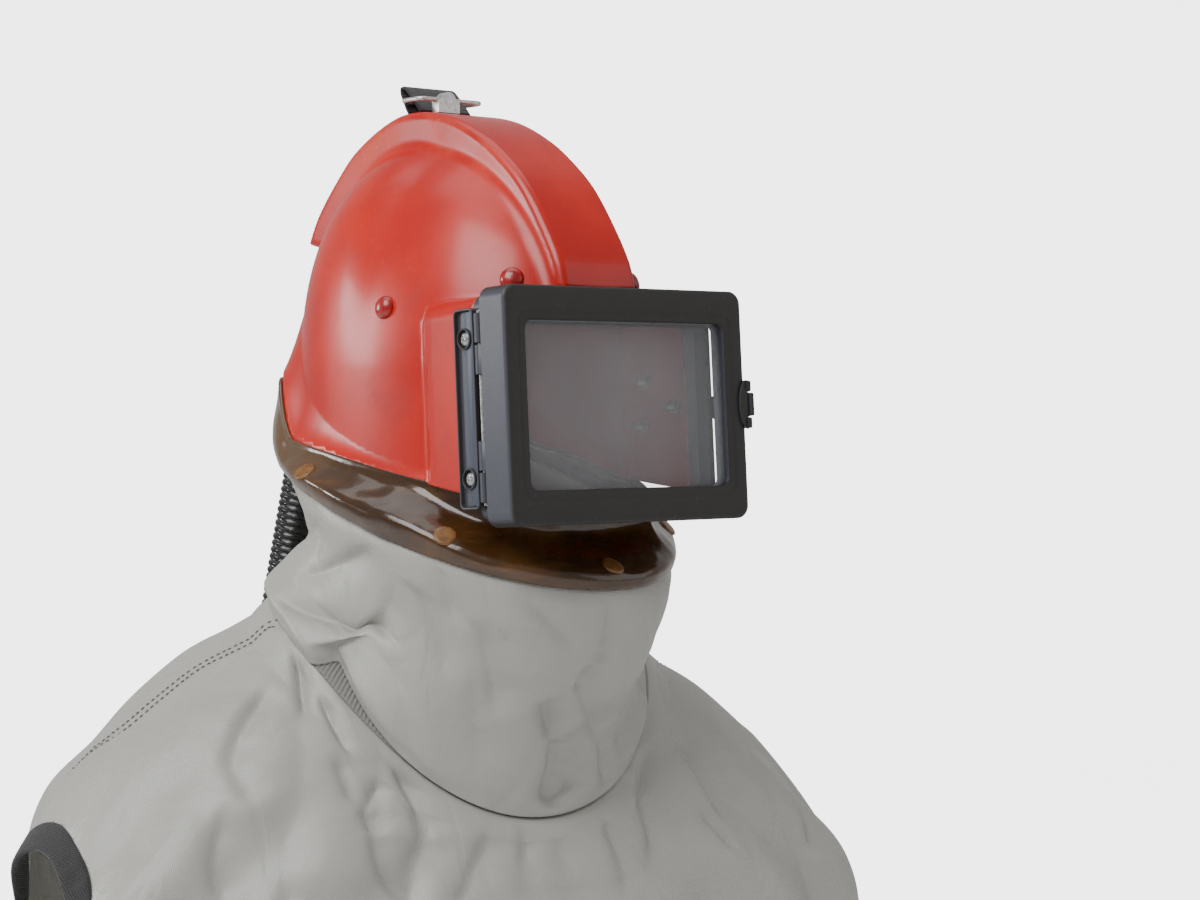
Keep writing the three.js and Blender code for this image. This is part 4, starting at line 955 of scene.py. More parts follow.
def makeStud(node):
    # a flat snap cap let into the rubber
    where = nodeCentre(node)
    gap = np.linalg.norm(collarPoints - where, axis=-1)
    i, j = np.unravel_index(gap.argmin(), gap.shape)
    at, normal = collarPoints[i, j], collarNormals[i, j]
    rings = stood(lathe(through(collar["stud"], np.linspace(0, 1, 34)), 40), at + normal * 0.1, normal)
    return Build().grid(rings, caps=True).piece(node.replace("collar_", "snap_"), "hood", [node], "stud")


studs = [makeStud(node) for node in studNodes]
print("collar done")

# cloth

torso = (
    Matrix.Translation((0, 0, -270)) @ Matrix.Rotation(np.radians(-8), 4, "Z")
    @ Matrix.Rotation(np.radians(2.5), 4, "Y") @ Matrix.Translation((0, 0, 270))
)
torsoTurn, torsoShift = np.array(torso.to_3x3()), np.array(torso.translation)

cloth = {
    "wall": 2.2, "bandWidth": 24, "bandReach": 18, "seatGap": 0.3, "ribPitch": 3.4, "square": 2.1,
    # the sleeve's reach to the side, ahead and behind, and millimetres round and down for the creases
    "sleeveReach": (118.7, 153.7, 149.7), "sleeveSpan": (140, 190), "capeSpan": (210, 480),
    "sleeve": [(0, 1, 1, 1), (.13, 1.045, 1.04, .96), (.38, 1.02, .955, .8), (.62, 1.01, .86, .74),
               (.8, 1.06, .78, .74)],
    "sleeveFolds": [(-62, .34, 6, .3, 1), (-28, .2, 4, .45, 1), (6, .16, 5, .5, 1), (34, .26, 6, .4, 1),
                    (92, .3, 6, .3, .9), (150, .3, 6, .3, .9), (-140, .3, 7, .3, .9)],
    # creases: angle and share down of both ends, depth, width in millimetres
    "sleeveCreases": [(-16, .56, -6, .69, 6.5, 6), (-6, .67, 3, .95, 6.5, 6), (3, .95, 10, .85, 5, 5),
                      (-5, .38, -6, .48, 4, 5), (-6, .46, 15, .74, 4.5, 6), (15, .72, 24, .99, 4, 6),
                      (-2, .06, -1, .33, 3.5, 5), (-1, .3, -5, .42, 3, 5), (-93, .86, -61, .7, 8, 7),
                      (-63, .35, -44, .62, 4, 8), (-43, .36, -27, .64, 4.5, 9), (-75, .2, -98, .7, 5, 9),
                      (-100, .3, -125, .75, 4, 9), (36, .3, 52, .88, 5, 9), (24, .3, 27, .6, 3, 6),
                      (-30, .12, -12, .3, 3, 9), (-55, .1, -50, .4, 3, 8)],
    "cape": [(.49, .047, .735, .05, .66, .04), (.62, .108, .8, .105, .73, .09), (.76, .195, .87, .165, .8, .145),
             (.885, .3, .92, .235, .87, .21), (.963, .385, .95, .31, .93, .28), (.995, .465, .975, .4, .97, .37),
             (1, .6, 1, .56, 1, .53), (.975, .78, 1, .77, 1.01, .76), (.94, 1, 1, 1, 1, 1)],
    "capeFolds": [(-75, .12, 9, .2, .7), (-48, .13, 12, .12, .8), (-24, .11, 11, .15, .9), (-2, .1, 9, .25, 1),
                  (22, .11, 11, .18, .9), (46, .13, 12, .12, .8), (74, .12, 9, .2, .7), (108, .14, 10, .2, .8),
                  (140, .14, 12, .15, .9), (176, .12, 9, .2, 1), (-144, .14, 12, .15, .9), (-112, .14, 10, .2, .8)],
    "capeCreases": [(-71, .27, -57, .3, 5, 8), (-53, .15, -42, .2, 5, 7), (-43, .12, -39, .21, 5, 6),
                    (-39, .2, -35, .23, 5, 6), (-35, .22, -21, .38, 6, 8), (-40, .03, -27, .17, 8, 13),
                    (-27, .15, -18, .42, 9, 14), (-14, .1, -11, .42, 6, 10), (-5, .06, -2, .4, 5, 8),
                    (2, .12, 1, .38, 4, 7), (17, .1, 7, .36, 5, 9), (40, .02, 16, .28, 5, 8), (55, .12, 41, .29, 6, 7),
                    (37, .24, 33, .34, 5, 6), (69, .34, 53, .46, 6, 8), (-80, .02, -66, .14, 5, 9),
                    (-66, .05, -52, .12, 5, 8), (-78, .16, -70, .27, 5, 10), (-60, .34, -48, .5, 5, 9),
                    (-40, .4, -30, .6, 5, 9), (96, .1, 84, .3, 5, 9), (130, .1, 138, .45, 6, 11),
                    (168, .08, 172, .4, 6, 11), (-150, .1, -144, .5, 6, 11), (-122, .12, -128, .5, 5, 10)],
    "half": 326, "chest": 172, "back": 180, "hem": -690,
    "armhole": (33, -559, 95, 131), "binding": 17, "bindingWall": 4, "inside": (0, 25, -500),
}


seam = {"half": 142, "front": 114, "rear": 112, "centre": -25, "top": -270, "drop": 148, "power": 2.5}


def seamHeight(a):
    # level behind, falling steeply to the front
    return seam["top"] - seam["drop"] * ((1 + np.cos(a)) / 2) ** seam["power"]


def onTorso(p):
    return p @ torsoTurn.T + torsoShift


def offTorso(p):
    return (p - torsoShift) @ torsoTurn


def seamPoint(a, out, up):
    # the neck seam: an oval turned with the torso
    x, forward = oval(a, seam["half"] + out, seam["front"] + out, seam["rear"] + out, seam["centre"], cloth["square"])
    return onTorso(point(x, forward, seamHeight(a) + up))


def foldDepth(folds, a, down):
    # each fold: depth times a bell of the angle from its middle, growing down its stretch
    total = 0 * (a + down)
    for angle, width, depth, start, end in folds:
        gap = np.angle(np.exp(1j * (a - np.radians(angle)))) / width
        total = total + depth * np.exp(-gap * gap) * ease(start, mix(start, end, 0.4), down)
    return total


def creaseDepth(creases, a, down, radius, length):
    # each crease: a valley along a line from one place to another, steep on one side, with soft ends
    total = 0 * (a + down)
    for a0, d0, a1, d1, depth, width in creases:
        x = np.angle(np.exp(1j * (a - np.radians(a0)))) * radius
        y = (down - d0) * length
        wx, wy = np.radians(a1 - a0) * radius, (d1 - d0) * length
        share = (x * wx + y * wy) / (wx * wx + wy * wy)
        across = (x * wy - y * wx) / np.hypot(wx, wy) / width
        ends = ease(-0.15, 0.25, share) * (1 - ease(0.75, 1.15, share))
        across = np.where(across > 0, across / 2.4, across * 1.5)
        total = total + 1.35 * depth * ends * np.exp(-np.abs(across) ** 1.2)
    return total


def crumple(p, size, seed):
    # sharp valleys where a smooth noise crosses zero, flatter faces between them
    return np.abs(waves(p, size, seed)) ** 0.8 - 0.35


def makeSleeve():
    a = around[None]
    front = (1 + np.cos(a)) / 2
    # at the front, and in a puffed fold at the wearer's right, the sleeve covers the band
    puff = ease(-62, -74, np.degrees(a)) * ease(-128, -108, np.degrees(a))
    toSeam = np.maximum(ease(0.55, 0.93, front), puff)
    hang = mix(cloth["bandWidth"], 4, toSeam)
    lower = seamPoint(a, mix(-cloth["bandReach"], 3.5, toSeam), hang - 3)[0]
    brim = seamPoint(a, mix(2 - cloth["bandReach"], 6.5, toSeam), hang + 9)[0]
    share = np.linspace(0, 1, 76)
    down, width, ahead, behind = through(cloth["sleeve"], share).T[:, :, None]
    side, fore, rear = cloth["sleeveReach"]
    x, forward = oval(a, side * width, fore * ahead, rear * behind, collar["centre"], cloth["square"])
    topForward = oval(a, collar["half"], collar["front"], collar["rear"], collar["centre"], collar["square"])[1]
    z = mix(collarBottom(topForward) + 7, lower[None, :, 2], down)
    points = point(x, forward, z)
    toward = (ease(0.35, 1, down) * 0.55)[..., None]
    points[..., :2] = mix(points, lower[None], toward)[..., :2]
    inward = unit(np.stack([-points[..., 0], -collar["centre"] - points[..., 1], 0 * points[..., 0]], -1))
    press = ease(0, 0.25, down) * foldDepth(cloth["sleeveFolds"], a, down)
    points = points + inward * press[..., None]
    # the last rows roll over the brim and back under it
    rows = [points[-1], mix(points[-1], brim, 0.55), brim, mix(brim, lower, 0.6), lower]
    tail = through(np.stack(rows), np.linspace(0, 1, 22))[1:]
    points = np.concatenate([points, tail])
    level = np.concatenate([down[:, 0], np.linspace(down[-1, 0], 1, len(tail) + 1)[1:]])[:, None]
    normals = -gridNormals(points, closedColumns=True)
    free = ease(0.03, 0.2, level) * (1 - 0.8 * ease(0.93, 1, level))
    crease = creaseDepth(cloth["sleeveCreases"], a, level, *cloth["sleeveSpan"])
    ripple = 2.4 * crumple(points * [1, 1, 0.4], 95, 11) + 0.5 * waves(points * [1, 1, 0.5], 36, 12)
    points = points + normals * (free * (ripple - crease))[..., None]
    normals = -gridNormals(points, closedColumns=True)
    made = Build().grid(walledRows(points, normals, 1.6, 2), closedRows=True)
    return made.piece("sleeve_cloth", "hood", ["neck_sleeve"], "cloth")


def makeBand():
    # a knitted rib: the outer skin waves along the seam with a fixed pitch
    a = np.linspace(-np.pi, np.pi, 1801)[:-1][None]
    level = np.linspace(1, 0, 12)[:, None]
    bow = np.sin(level * np.pi) * 1.2
    lean = level * (cloth["bandReach"] + 8.5)
    points = seamPoint(a, cloth["seatGap"] + bow - lean, 1 + level * (cloth["bandWidth"] + 1))
    normals = -gridNormals(points, closedColumns=True)
    line = np.linalg.norm(np.diff(points[6], axis=0, append=points[6][:1]), axis=-1)
    travel = np.concatenate([[0], np.cumsum(line)[:-1]])
    count = round(line.sum() / cloth["ribPitch"])
    wave = 0.5 * np.cos(travel / line.sum() * 2 * np.pi * count)
    fade = np.sin(np.pi * np.clip(level * 0.94 + 0.03, 0, 1)) ** 0.35
    points = points + normals * (wave[None] * fade)[..., None]
    skin = Build().grid(walledRows(points, normals, 1.4, 1), closedRows=True)
    return skin.piece("rib_band", "hood", ["neck_band"], "band")


def capeGrid(a, v):
    # rows from the neck seam to the hem: table shares between the seam oval and the shoulders' oval
    count = len(cloth["cape"])
    down = v[:, None]
    rows = through(cloth["cape"], (down * count - 1) / (count - 1))
    side, sideFall, ahead, aheadFall, back, backFall = rows.transpose(2, 0, 1)
    fold = foldDepth(cloth["capeFolds"], a, down)
    square = mix(cloth["square"], 2.6, ease(0, 0.4, down))
    reach = cloth["half"] * side - fold, cloth["chest"] * ahead - fold, cloth["back"] * back - fold
    x, forward = oval(a, *reach, seam["centre"], square)
    sideShare = np.sin(a) ** 2
    frontOrBack = mix(backFall, aheadFall, ease(-0.12, 0.12, np.cos(a)))
    fall = mix(frontOrBack, sideFall, sideShare)
    points = onTorso(point(x, forward, mix(seamHeight(a), cloth["hem"], fall)))
    # the neck row joins the first section smoothly
    neck = seamPoint(a, 0.6, 0)
    join = np.clip(down * count, 0, 1)[..., None]
    first = points[np.searchsorted(v, 1 / count)][None]
    return np.where(join < 1, mix(neck, first, join), points)


def makeCape():
    a, down = around[None], capeLevels[:, None]
    points = capeGrid(a, capeLevels)
    normals = -gridNormals(points, closedColumns=True)
    crease = creaseDepth(cloth["capeCreases"], a, down, *cloth["capeSpan"])
    ripple = 4.0 * crumple(points * [1, 1, 0.45], 150, 21) + 0.9 * waves(points * [1, 1, 0.5], 60, 22)
    free = ease(0.0, 0.05, down)
    points = points + normals * (free * (ripple - crease))[..., None]
    made = Build().grid(points).piece("cape_cloth", "hood", ["cape"], "cloth")
    bm = bmesh.new()
    bm.from_mesh(made.data)
    middle, high, deep, tall = cloth["armhole"]
    local = offTorso(pointsOf(bm) / millimetre)
    ring = np.hypot((local[:, 1] - middle) / deep, (local[:, 2] - high) / tall) - 1
    cutAway(bm, np.where(np.abs(local[:, 0]) > 150, ring, 1.0))
    bmesh.ops.recalc_face_normals(bm, faces=bm.faces)
    bm.to_mesh(made.data)
    bm.free()
    wall = made.modifiers.new("wall", "SOLIDIFY")
    wall.thickness, wall.offset = cloth["wall"] * millimetre, -1
    return made, points


def makeBinding(side, capePoints):
    # webbing folded over the armhole's edge, laid on the cape's own surface
    middle, high, deep, tall = cloth["armhole"]
    turn = np.linspace(0, 2 * np.pi, 281)[:-1]
    local = offTorso(capePoints.reshape(-1, 3))
    local = local[local[:, 0] * side > 120]
    width = cloth["binding"]
    share = np.linspace(0, 1, 7)
    y = middle + np.outer(deep - 1 - (width - 2) * share, np.cos(turn))
    z = high + np.outer(tall - 1 - (width - 2) * share, np.sin(turn))
    target = np.stack([y, z], -1).reshape(-1, 2)
    x = np.empty(len(target))
    for start in range(0, len(target), 400):
        part = target[start:start + 400]
        gap = ((part[:, None] - local[None, :, 1:]) ** 2).sum(-1)
        near = np.argpartition(gap, 16, axis=1)[:, :16]
        weight = 1 / (np.take_along_axis(gap, near, 1) + 30)
        x[start:start + 400] = (local[near, 0] * weight).sum(1) / weight.sum(1)
    x = x.reshape(y.shape)
    for _ in range(40):
        x = (np.roll(x, 1, 1) + x + np.roll(x, -1, 1)) / 3
    points = onTorso(np.stack([x, y, z], -1))
    normals = gridNormals(points, closedColumns=True)
    if ((normals * (points - cloth["inside"])).sum(-1)).mean() < 0:
        normals = -normals
    points = points + normals * (cloth["bindingWall"] - cloth["wall"]) / 2
    made = Build().grid(walledRows(points, normals, cloth["bindingWall"], 4), closedRows=True)
    return made.piece("arm_binding_" + sideName(side), "hood", ["armhole_binding_" + sideName(side)], "binding")


stitch = {
    # the shoulder seam in degrees and share down, and each row's distance from it
    "seam": [(-93, .012), (-96, .05), (-97, .15), (-98.5, .215), (-97.5, .28), (-98, .335), (-104, .4), (-115, .48)],
    "rows": (-3.2, 3.2), "pitch": 4.6, "long": 3.1, "thick": 0.55, "inside": (0, 20, -560),
    "section": [(0, 0.3), (0.4, 0.85), (0.5, 1), (0.6, 0.85), (1, 0.3)],
}


def makeStitches(capePoints, side):
    # short rounded threads in two rows along the seam, laid on the cape's own surface
    share = through(stitch["seam"], np.linspace(0, 1, 400))
    column = (np.radians(share[:, 0] * -side) + np.pi) / (2 * np.pi) * columns
    level = np.interp(share[:, 1], capeLevels, np.arange(len(capeLevels)))
    i, j = level.astype(int), column.astype(int)
    fi, fj = (level - i)[:, None], (column - j)[:, None]
    corner = [capePoints[i + a, (j + b) % columns] for a in (0, 1) for b in (0, 1)]
    line = mix(mix(corner[0], corner[1], fj), mix(corner[2], corner[3], fj), fi)
    across = capePoints[i, (j + 1) % columns] - capePoints[i, j]
    tangent = unit(np.gradient(line, axis=0))
    across = unit(across - tangent * (across * tangent).sum(-1, keepdims=True))
    normal = np.cross(tangent, across)
    normal *= np.sign((normal * (line - stitch["inside"])).sum(-1, keepdims=True))
    travel = travelAlong(line)
    made = Build()
    turn = np.linspace(0, 2 * np.pi, 8, endpoint=False)
    for start in np.arange(1, travel[-1] - 5, stitch["pitch"]):
        k = int(np.searchsorted(travel, start + 1.5))
        for off in stitch["rows"]:
            rings = []
            for at, size in stitch["section"]:
                middle = line[k] + across[k] * off + tangent[k] * (at - 0.5) * stitch["long"]
                middle = middle + normal[k] * (0.25 + 0.45 * size)
                spoke = np.cos(turn)[:, None] * across[k] + np.sin(turn)[:, None] * normal[k]
                rings.append(middle + stitch["thick"] * size * spoke)
            made.grid(np.stack(rings), caps=True)
    return made.piece("shoulder_stitches_" + sideName(side), "hood", [], "cloth")


capeLevels = np.concatenate([np.linspace(0, 0.12, 22)[:-1], np.linspace(0.12, 1, 96)])
sleeveCloth, ribBand = makeSleeve(), makeBand()
capeCloth, capePoints = makeCape()
shoulderStitches = [makeStitches(capePoints, side) for side in (-1, 1)]
armBindings = [makeBinding(side, capePoints) for side in (-1, 1)]
print("cloth done")

# strap

strap = {
    "half": 23, "thick": 2.3, "foot": 76.6, "rise": 21, "forward": -40, "long": 54,
    "line": [(.04, .04), (.12, .25), (.22, .5), (.32, .75), (.39, .9), (.44, .945), (.485, .9), (.47, .7),
             (.41, .42), (.35, .16), (.31, .03)],
    "bail": (28, 23, 5, 1.7, -46.5, 85.85),
}


def makeStrap():
    # a flat band of webbing carried over the loop's side line
    line = through(strap["line"], np.linspace(0, 1, 60))
    along, up = line.T
    path = point(0 * along, strap["forward"] - strap["long"] * along, strap["foot"] + strap["rise"] * up)
    tangent = unit(np.gradient(path, axis=0))
    out = np.cross(tangent, [1.0, 0, 0])
    loop = roundedLoop(strap["half"], strap["thick"] / 2, strap["thick"] * 0.45, 4)
    fine = []
    for a, b in zip(loop, np.roll(loop, -1, 0)):
        steps = max(int(np.linalg.norm(b - a) / 3), 1)
        fine.append(a + (b - a) * (np.arange(steps) / steps)[:, None])
    loop = np.concatenate(fine)
    rows = path[:, None] + loop[None, :, :1] * np.array([1.0, 0, 0]) + loop[None, :, 1:] * out[:, None]
    return Build().grid(rows, caps=True).piece("strap_webbing", "hood", ["crest_strap"], "webbing")


def makeBail():
    half, deep, corner, wire, forward, z = strap["bail"]
    loop = roundedLoop(half, deep / 2, corner, 8)
    path = np.stack([loop[:, 0], loop[:, 1] - forward, np.full(len(loop), z)], -1)
    along = unit(np.roll(path, -1, 0) - np.roll(path, 1, 0))
    level = np.tile([0, 0, 1.0], (len(path), 1))
    made = Build().grid(circles(path, np.cross(along, level), level, wire, 16), closedRows=True)
    return made.piece("strap_wire", "hood", ["strap_bail"], "nickel")


strapWebbing, strapWire = makeStrap(), makeBail()
strapLug = copyOfNode("strap_lug", "strap_block", "hood", 0.9, 25)
print("strap done")

# materials


def colour(red, green, blue):
    # screen colour 0..255 to linear light
    c = np.array([red, green, blue]) / 255
    return tuple(np.where(c <= 0.04045, c / 12.92, ((c + 0.055) / 1.055) ** 2.4)) + (1.0,)


class Socket:
    # an output that takes sums and products like a number
    def __init__(self, finish, output):
        self.finish, self.output = finish, output

    def sum(self, kind, a, b):
        return self.finish.node("Math", {"operation": kind}, {0: a, 1: b})[0]

    def __add__(self, other):
        return self.sum("ADD", self, other)

    def __mul__(self, other):
        return self.sum("MULTIPLY", self, other)

    def __sub__(self, other):
        return self.sum("SUBTRACT", self, other)

    def __rsub__(self, other):
        return self.sum("SUBTRACT", other, self)

    def __pow__(self, other):
        return self.sum("POWER", self, other)

    __radd__, __rmul__ = __add__, __mul__


class Finish:
    # one material and its nodes
    def __init__(self, name):
        self.material = bpy.data.materials.new(name)
        self.material.use_nodes = True
        self.tree = self.material.node_tree
        self.shader = self.tree.nodes["Principled BSDF"]
        self.place = self.node("TexCoord")["Object"]

    def node(self, kind, settings=None, values=None):
        # makes a node, sets its options first, then the values or links of its sockets
        made = self.tree.nodes.new("ShaderNode" + kind)
        for key, value in (settings or {}).items():
            setattr(made, key, value)
        self.fill(made.inputs, values or {})
        return Outputs(self, made)

    def fill(self, inputs, values):
        # a link where the value is a socket, else the value itself
        for key, value in values.items():
            if isinstance(value, Socket):
                self.tree.links.new(value.output, inputs[key])
            else:
                inputs[key].default_value = value

    def noise(self, scale, detail=3.0, rough=0.5, stretch=None, warp=0.0):
        at = self.place
        if stretch:
            at = self.node("Mapping", None, {"Vector": at, "Scale": stretch})[0]
        return self.node("TexNoise", None, {
            "Vector": at, "Scale": scale, "Detail": detail, "Roughness": rough, "Distortion": warp})["Fac"]

    def waves(self, scale, axis, stretch=None, warp=0.0, turn=None):
        at = self.place
        if turn or stretch:
            at = self.node("Mapping", None, {
                "Vector": at, "Rotation": turn or (0, 0, 0), "Scale": stretch or (1, 1, 1)})[0]
        return self.node("TexWave", {"bands_direction": axis, "wave_profile": "SIN"}, {
            "Vector": at, "Scale": scale, "Distortion": warp, "Detail": 1.0, "Detail Scale": 1.5})["Fac"]

    def step(self, value, low, high, start=0.0, end=1.0):
        # a soft step between two values
        return self.node("MapRange", {"interpolation_type": "SMOOTHSTEP", "clamp": True}, {
            "Value": value, "From Min": low, "From Max": high, "To Min": start, "To Max": end})[0]

    def between(self, share, a, b):
        # from one colour to another, each a screen colour of three numbers, a linear one of four or a socket
        a, b = (colour(*c) if isinstance(c, tuple) and len(c) == 3 else c for c in (a, b))
        return self.node("Mix", {"data_type": "RGBA"}, {0: share, 6: a, 7: b})[2]

    def close(self, base, rough, bump=None, depth=0.0002, **fixed):
        # colour, roughness, bump and the rest go to the shader itself
        values = {"Base Color": base, "Roughness": rough}
        values.update({key.replace("_", " "): value for key, value in fixed.items()})
        if bump is not None:
            values["Normal"] = self.node("Bump", None, {"Strength": 1.0, "Distance": depth, "Height": bump})[0]
        self.fill(self.shader.inputs, values)
        return self.material


class Outputs:
    # a node's outputs by name or number, as sockets
    def __init__(self, finish, made):
        self.finish, self.made = finish, made

    def __getitem__(self, key):
        return Socket(self.finish, self.made.outputs[key])


def axisOf(finish, axis):
    return finish.node("SeparateXYZ", None, {0: finish.place})["XYZ".index(axis)]


def facingSideways(finish, low, high):
    # a soft mask of the faces that look along X
    normal = finish.node("TexCoord")["Normal"]
    share = finish.node("SeparateXYZ", None, {0: normal})[0]
    return finish.step(finish.node("Math", {"operation": "ABSOLUTE"}, {0: share})[0], low, high)


def shellFinish():
    f = Finish("moulded_red")
    big = f.noise(9, 4, 0.55)
    grime = f.step(f.noise(26, 6, 0.65, warp=0.6), 0.52, 0.75)
    scuff = f.step(f.noise(240, 3, 0.6, (0.35, 1, 1.6)), 0.62, 0.74)
    # the crest's flanks are painted paler near the top, a painted highlight of the overhead light, and are rubbed there
    high = f.step(axisOf(f, "Z"), 0.0, 0.07)
    side = facingSideways(f, 0.55, 0.9)
    sheenAndRub = high * side * f.step(f.noise(18, 4, 0.6), 0.35, 0.62)
    base = f.between(f.step(big, 0.35, 0.68), (186, 18, 6), (206, 30, 10))
    # painted highlight: paler red near the top of the crest's flanks
    base = f.between(sheenAndRub * 0.6, base, (212, 72, 46))
    base = f.between(grime * 0.2, base, (90, 16, 12))
    base = f.between(scuff * (sheenAndRub * 0.8 + 0.06), base, (222, 150, 128))
    rough = 0.3 + 0.08 * big + 0.2 * sheenAndRub + 0.1 * grime + 0.2 * scuff
    peel = f.noise(340, 2, 0.5) * 0.35 + f.noise(60, 2, 0.5) * 0.65 - scuff * 0.25
    return f.close(base, rough, peel, 0.00005, Coat_Weight=0.22, Coat_Roughness=0.17, Specular_IOR_Level=0.45)


def rivetFinish():
    f = Finish("rivet_red")
    spots = f.noise(300, 3, 0.6)
    base = f.between(f.step(spots, 0.35, 0.7), (140, 8, 6), (178, 18, 12))
    return f.close(base, 0.24 + 0.16 * spots, f.noise(700, 2), 0.00005, Coat_Weight=0.5, Coat_Roughness=0.1)


def frameFinish():
    # moulded charcoal: satin, a painted bluish reflection on the faces that look sideways, pale rubs and dust
    f = Finish("moulded_charcoal")
    grain = f.noise(900, 3, 0.6)
    patch = f.noise(22, 5, 0.6)
    rub = f.step(f.noise(420, 4, 0.65, (1, 1, 0.4)), 0.6, 0.78)
    side = facingSideways(f, 0.6, 0.95)
    base = f.between(patch, (36, 34, 33), (48, 46, 44))
    # painted reflection: the faces that look along X are painted lighter and bluish
    base = f.between(side * 0.75, base, (74, 77, 88))
    base = f.between(rub * 0.16, base, (120, 116, 112))
    rough = 0.48 - 0.18 * side + 0.12 * patch + 0.06 * grain
    return f.close(base, rough, grain * 0.7 + patch * 0.3, 0.00014, Specular_IOR_Level=0.45)


def speckled(name, grain, dark, light, rough, depth, band=None, stain=None, **fixed):
    # two tones and a roughness that follow one noise, with an optional stain of another
    f = Finish(name)
    spots = f.noise(*grain)
    base = f.between(f.step(spots, *band) if band else spots, dark, light)
    if stain:
        scale, low, high, amount, tint = stain
        base = f.between(f.step(f.noise(scale, 3), low, high) * amount, base, tint)
    return f.close(base, rough[0] + rough[1] * spots, spots, depth, **fixed)


def paneFinish():
    # clear sheet with a milky haze, dust and hairline scratches
    f = Finish("clear_pane")
    haze = f.noise(14, 4, 0.6)
    scratch = f.step(f.noise(520, 2, 0.5, (0.1, 1, 1.8)), 0.66, 0.74)
    base = f.between(haze, (172, 172, 176), (200, 202, 204))
    alpha = 0.11 + 0.07 * haze + 0.06 * scratch
    made = f.close(base, 0.1 + 0.14 * haze, scratch, 0.00002, Alpha=alpha, Specular_IOR_Level=0.6)
    made.surface_render_method = "BLENDED"
    return made


def collarFinish():
    # amber brown rubber: glossy and cloudy, with a painted shade in its upper part under the shell's rim, painted
    # highlight streaks, a painted paler back and dark spots
    f = Finish("amber_rubber")
    cloud = f.noise(11, 5, 0.6, warp=0.8)
    highlightStreak = f.noise(60, 4, 0.6, (0.3, 0.3, 1.6))
    spots = f.step(f.noise(90, 4, 0.7), 0.6, 0.74)
    low = f.step(axisOf(f, "Z"), -0.255, -0.19)
    base = f.between(f.step(cloud, 0.3, 0.7), (58, 36, 16), (98, 64, 27))
    # painted shade: the upper part, under the shell's rim, is painted darker
    base = f.between(low * 0.35, base, (54, 36, 22))
    # painted highlight: pale amber streaks
    base = f.between(f.step(highlightStreak, 0.5, 0.8) * 0.35, base, (132, 88, 42))
    base = f.between(spots * 0.4, base, (40, 24, 12))
    # paler and greyer towards the back: a painted hazy highlight
    behind = f.step(axisOf(f, "Y"), -0.02, 0.1) * 0.45
    base = f.between(behind, base, (120, 98, 76))
    rough = 0.14 + 0.12 * cloud + 0.16 * spots
    bump = cloud * 0.6 + f.noise(45, 3, 0.5) * 0.3 + highlightStreak * 0.1
    return f.close(base, rough, bump, 0.0014, Coat_Weight=0.4, Coat_Roughness=0.05)


def clothFinish():
    # satin nylon: a fine plain weave, soft creases in the sheen, faint dust
    f = Finish("grey_nylon")
    warpWay = f.waves(260, "X", turn=(0, 0, 0.25), warp=0.4)
    weftWay = f.waves(260, "Z", warp=0.4)
    weave = warpWay * 0.5 + weftWay * 0.5
    patch = f.noise(7, 4, 0.55)
    soft = f.noise(20, 3, 0.5, (1, 1, 0.5), warp=0.3)
    fine = f.noise(110, 4, 0.6)
    mark = f.step(f.noise(48, 4, 0.7), 0.66, 0.76)
    base = f.between(patch, (156, 155, 148), (176, 175, 168))
    base = f.between(weave * 0.35, base, (190, 189, 184))
    base = f.between(mark * 0.25, base, (104, 101, 98))
    rough = 0.33 + 0.08 * weave + 0.07 * fine
    # narrow valleys of a warped noise read as small set-in creases
    valley = f.node("Math", {"operation": "ABSOLUTE"}, {0: f.noise(16, 3, 0.5, (1, 1, 0.6), warp=0.8) - 0.5})[0]
    bump = f.step(valley, 0.0, 0.12) * 0.12 + soft * 0.6 + fine * 0.05 + weave * 0.04
    return f.close(base, rough, bump, 0.0036, Specular_IOR_Level=0.85)


def bandFinish():
    f = Finish("rib_knit")
    knit = f.waves(420, "Z", warp=1.2)
    patch = f.noise(40, 4, 0.6)
    base = f.between(patch, (138, 137, 131), (158, 157, 151))
    base = f.between(knit * 0.4, base, (96, 94, 92))
    return f.close(base, 0.8, knit * 0.6 + patch * 0.4, 0.0004, Sheen_Weight=0.3)


def threadFinish():
    f = Finish("grey_thread")
    twist = f.waves(900, "X", turn=(0.6, 0, 0.6))
    base = f.between(twist, (84, 82, 80), (132, 130, 126))
    return f.close(base, 0.6 + 0.1 * twist, twist, 0.00008)


def webbingFinish(name, dark, light, scale):
    f = Finish(name)
    rows = f.waves(scale, "X", warp=0.3)
    lines = f.waves(scale * 0.7, "Z", warp=0.3, turn=(0.3, 0, 0))
    weave = rows * 0.55 + lines * 0.45
    patch = f.noise(60, 4, 0.6)
    base = f.between(f.step(weave, 0.2, 0.8), dark, light)
    base = f.between(f.step(patch, 0.5, 0.8) * 0.22, base, (80, 77, 75))
    return f.close(base, 0.66 + 0.14 * weave, weave, 0.0005, Sheen_Weight=0.2)


def hoseFinish():
    f = Finish("black_hose")
    lines = f.waves(210, "Z", warp=0.2)
    dust = f.step(f.noise(50, 4, 0.65), 0.5, 0.75)
    base = f.between(dust * 0.35, (14, 14, 15), (54, 52, 50))
    return f.close(base, 0.2 + 0.25 * dust + 0.08 * lines, lines * 0.5 + f.noise(200, 3) * 0.5, 0.0002, Coat_Weight=0.3)


def couplingFinish():
    f = Finish("black_nylon")
    grain = f.noise(620, 3, 0.6)
    base = f.between(f.noise(36, 4, 0.6), (26, 26, 27), (46, 45, 45))
    return f.close(base, 0.4 + 0.2 * grain, grain, 0.00012)


def paint(finish, *pieces):
    for piece in pieces:
        piece.data.materials.clear()
        piece.data.materials.append(finish)


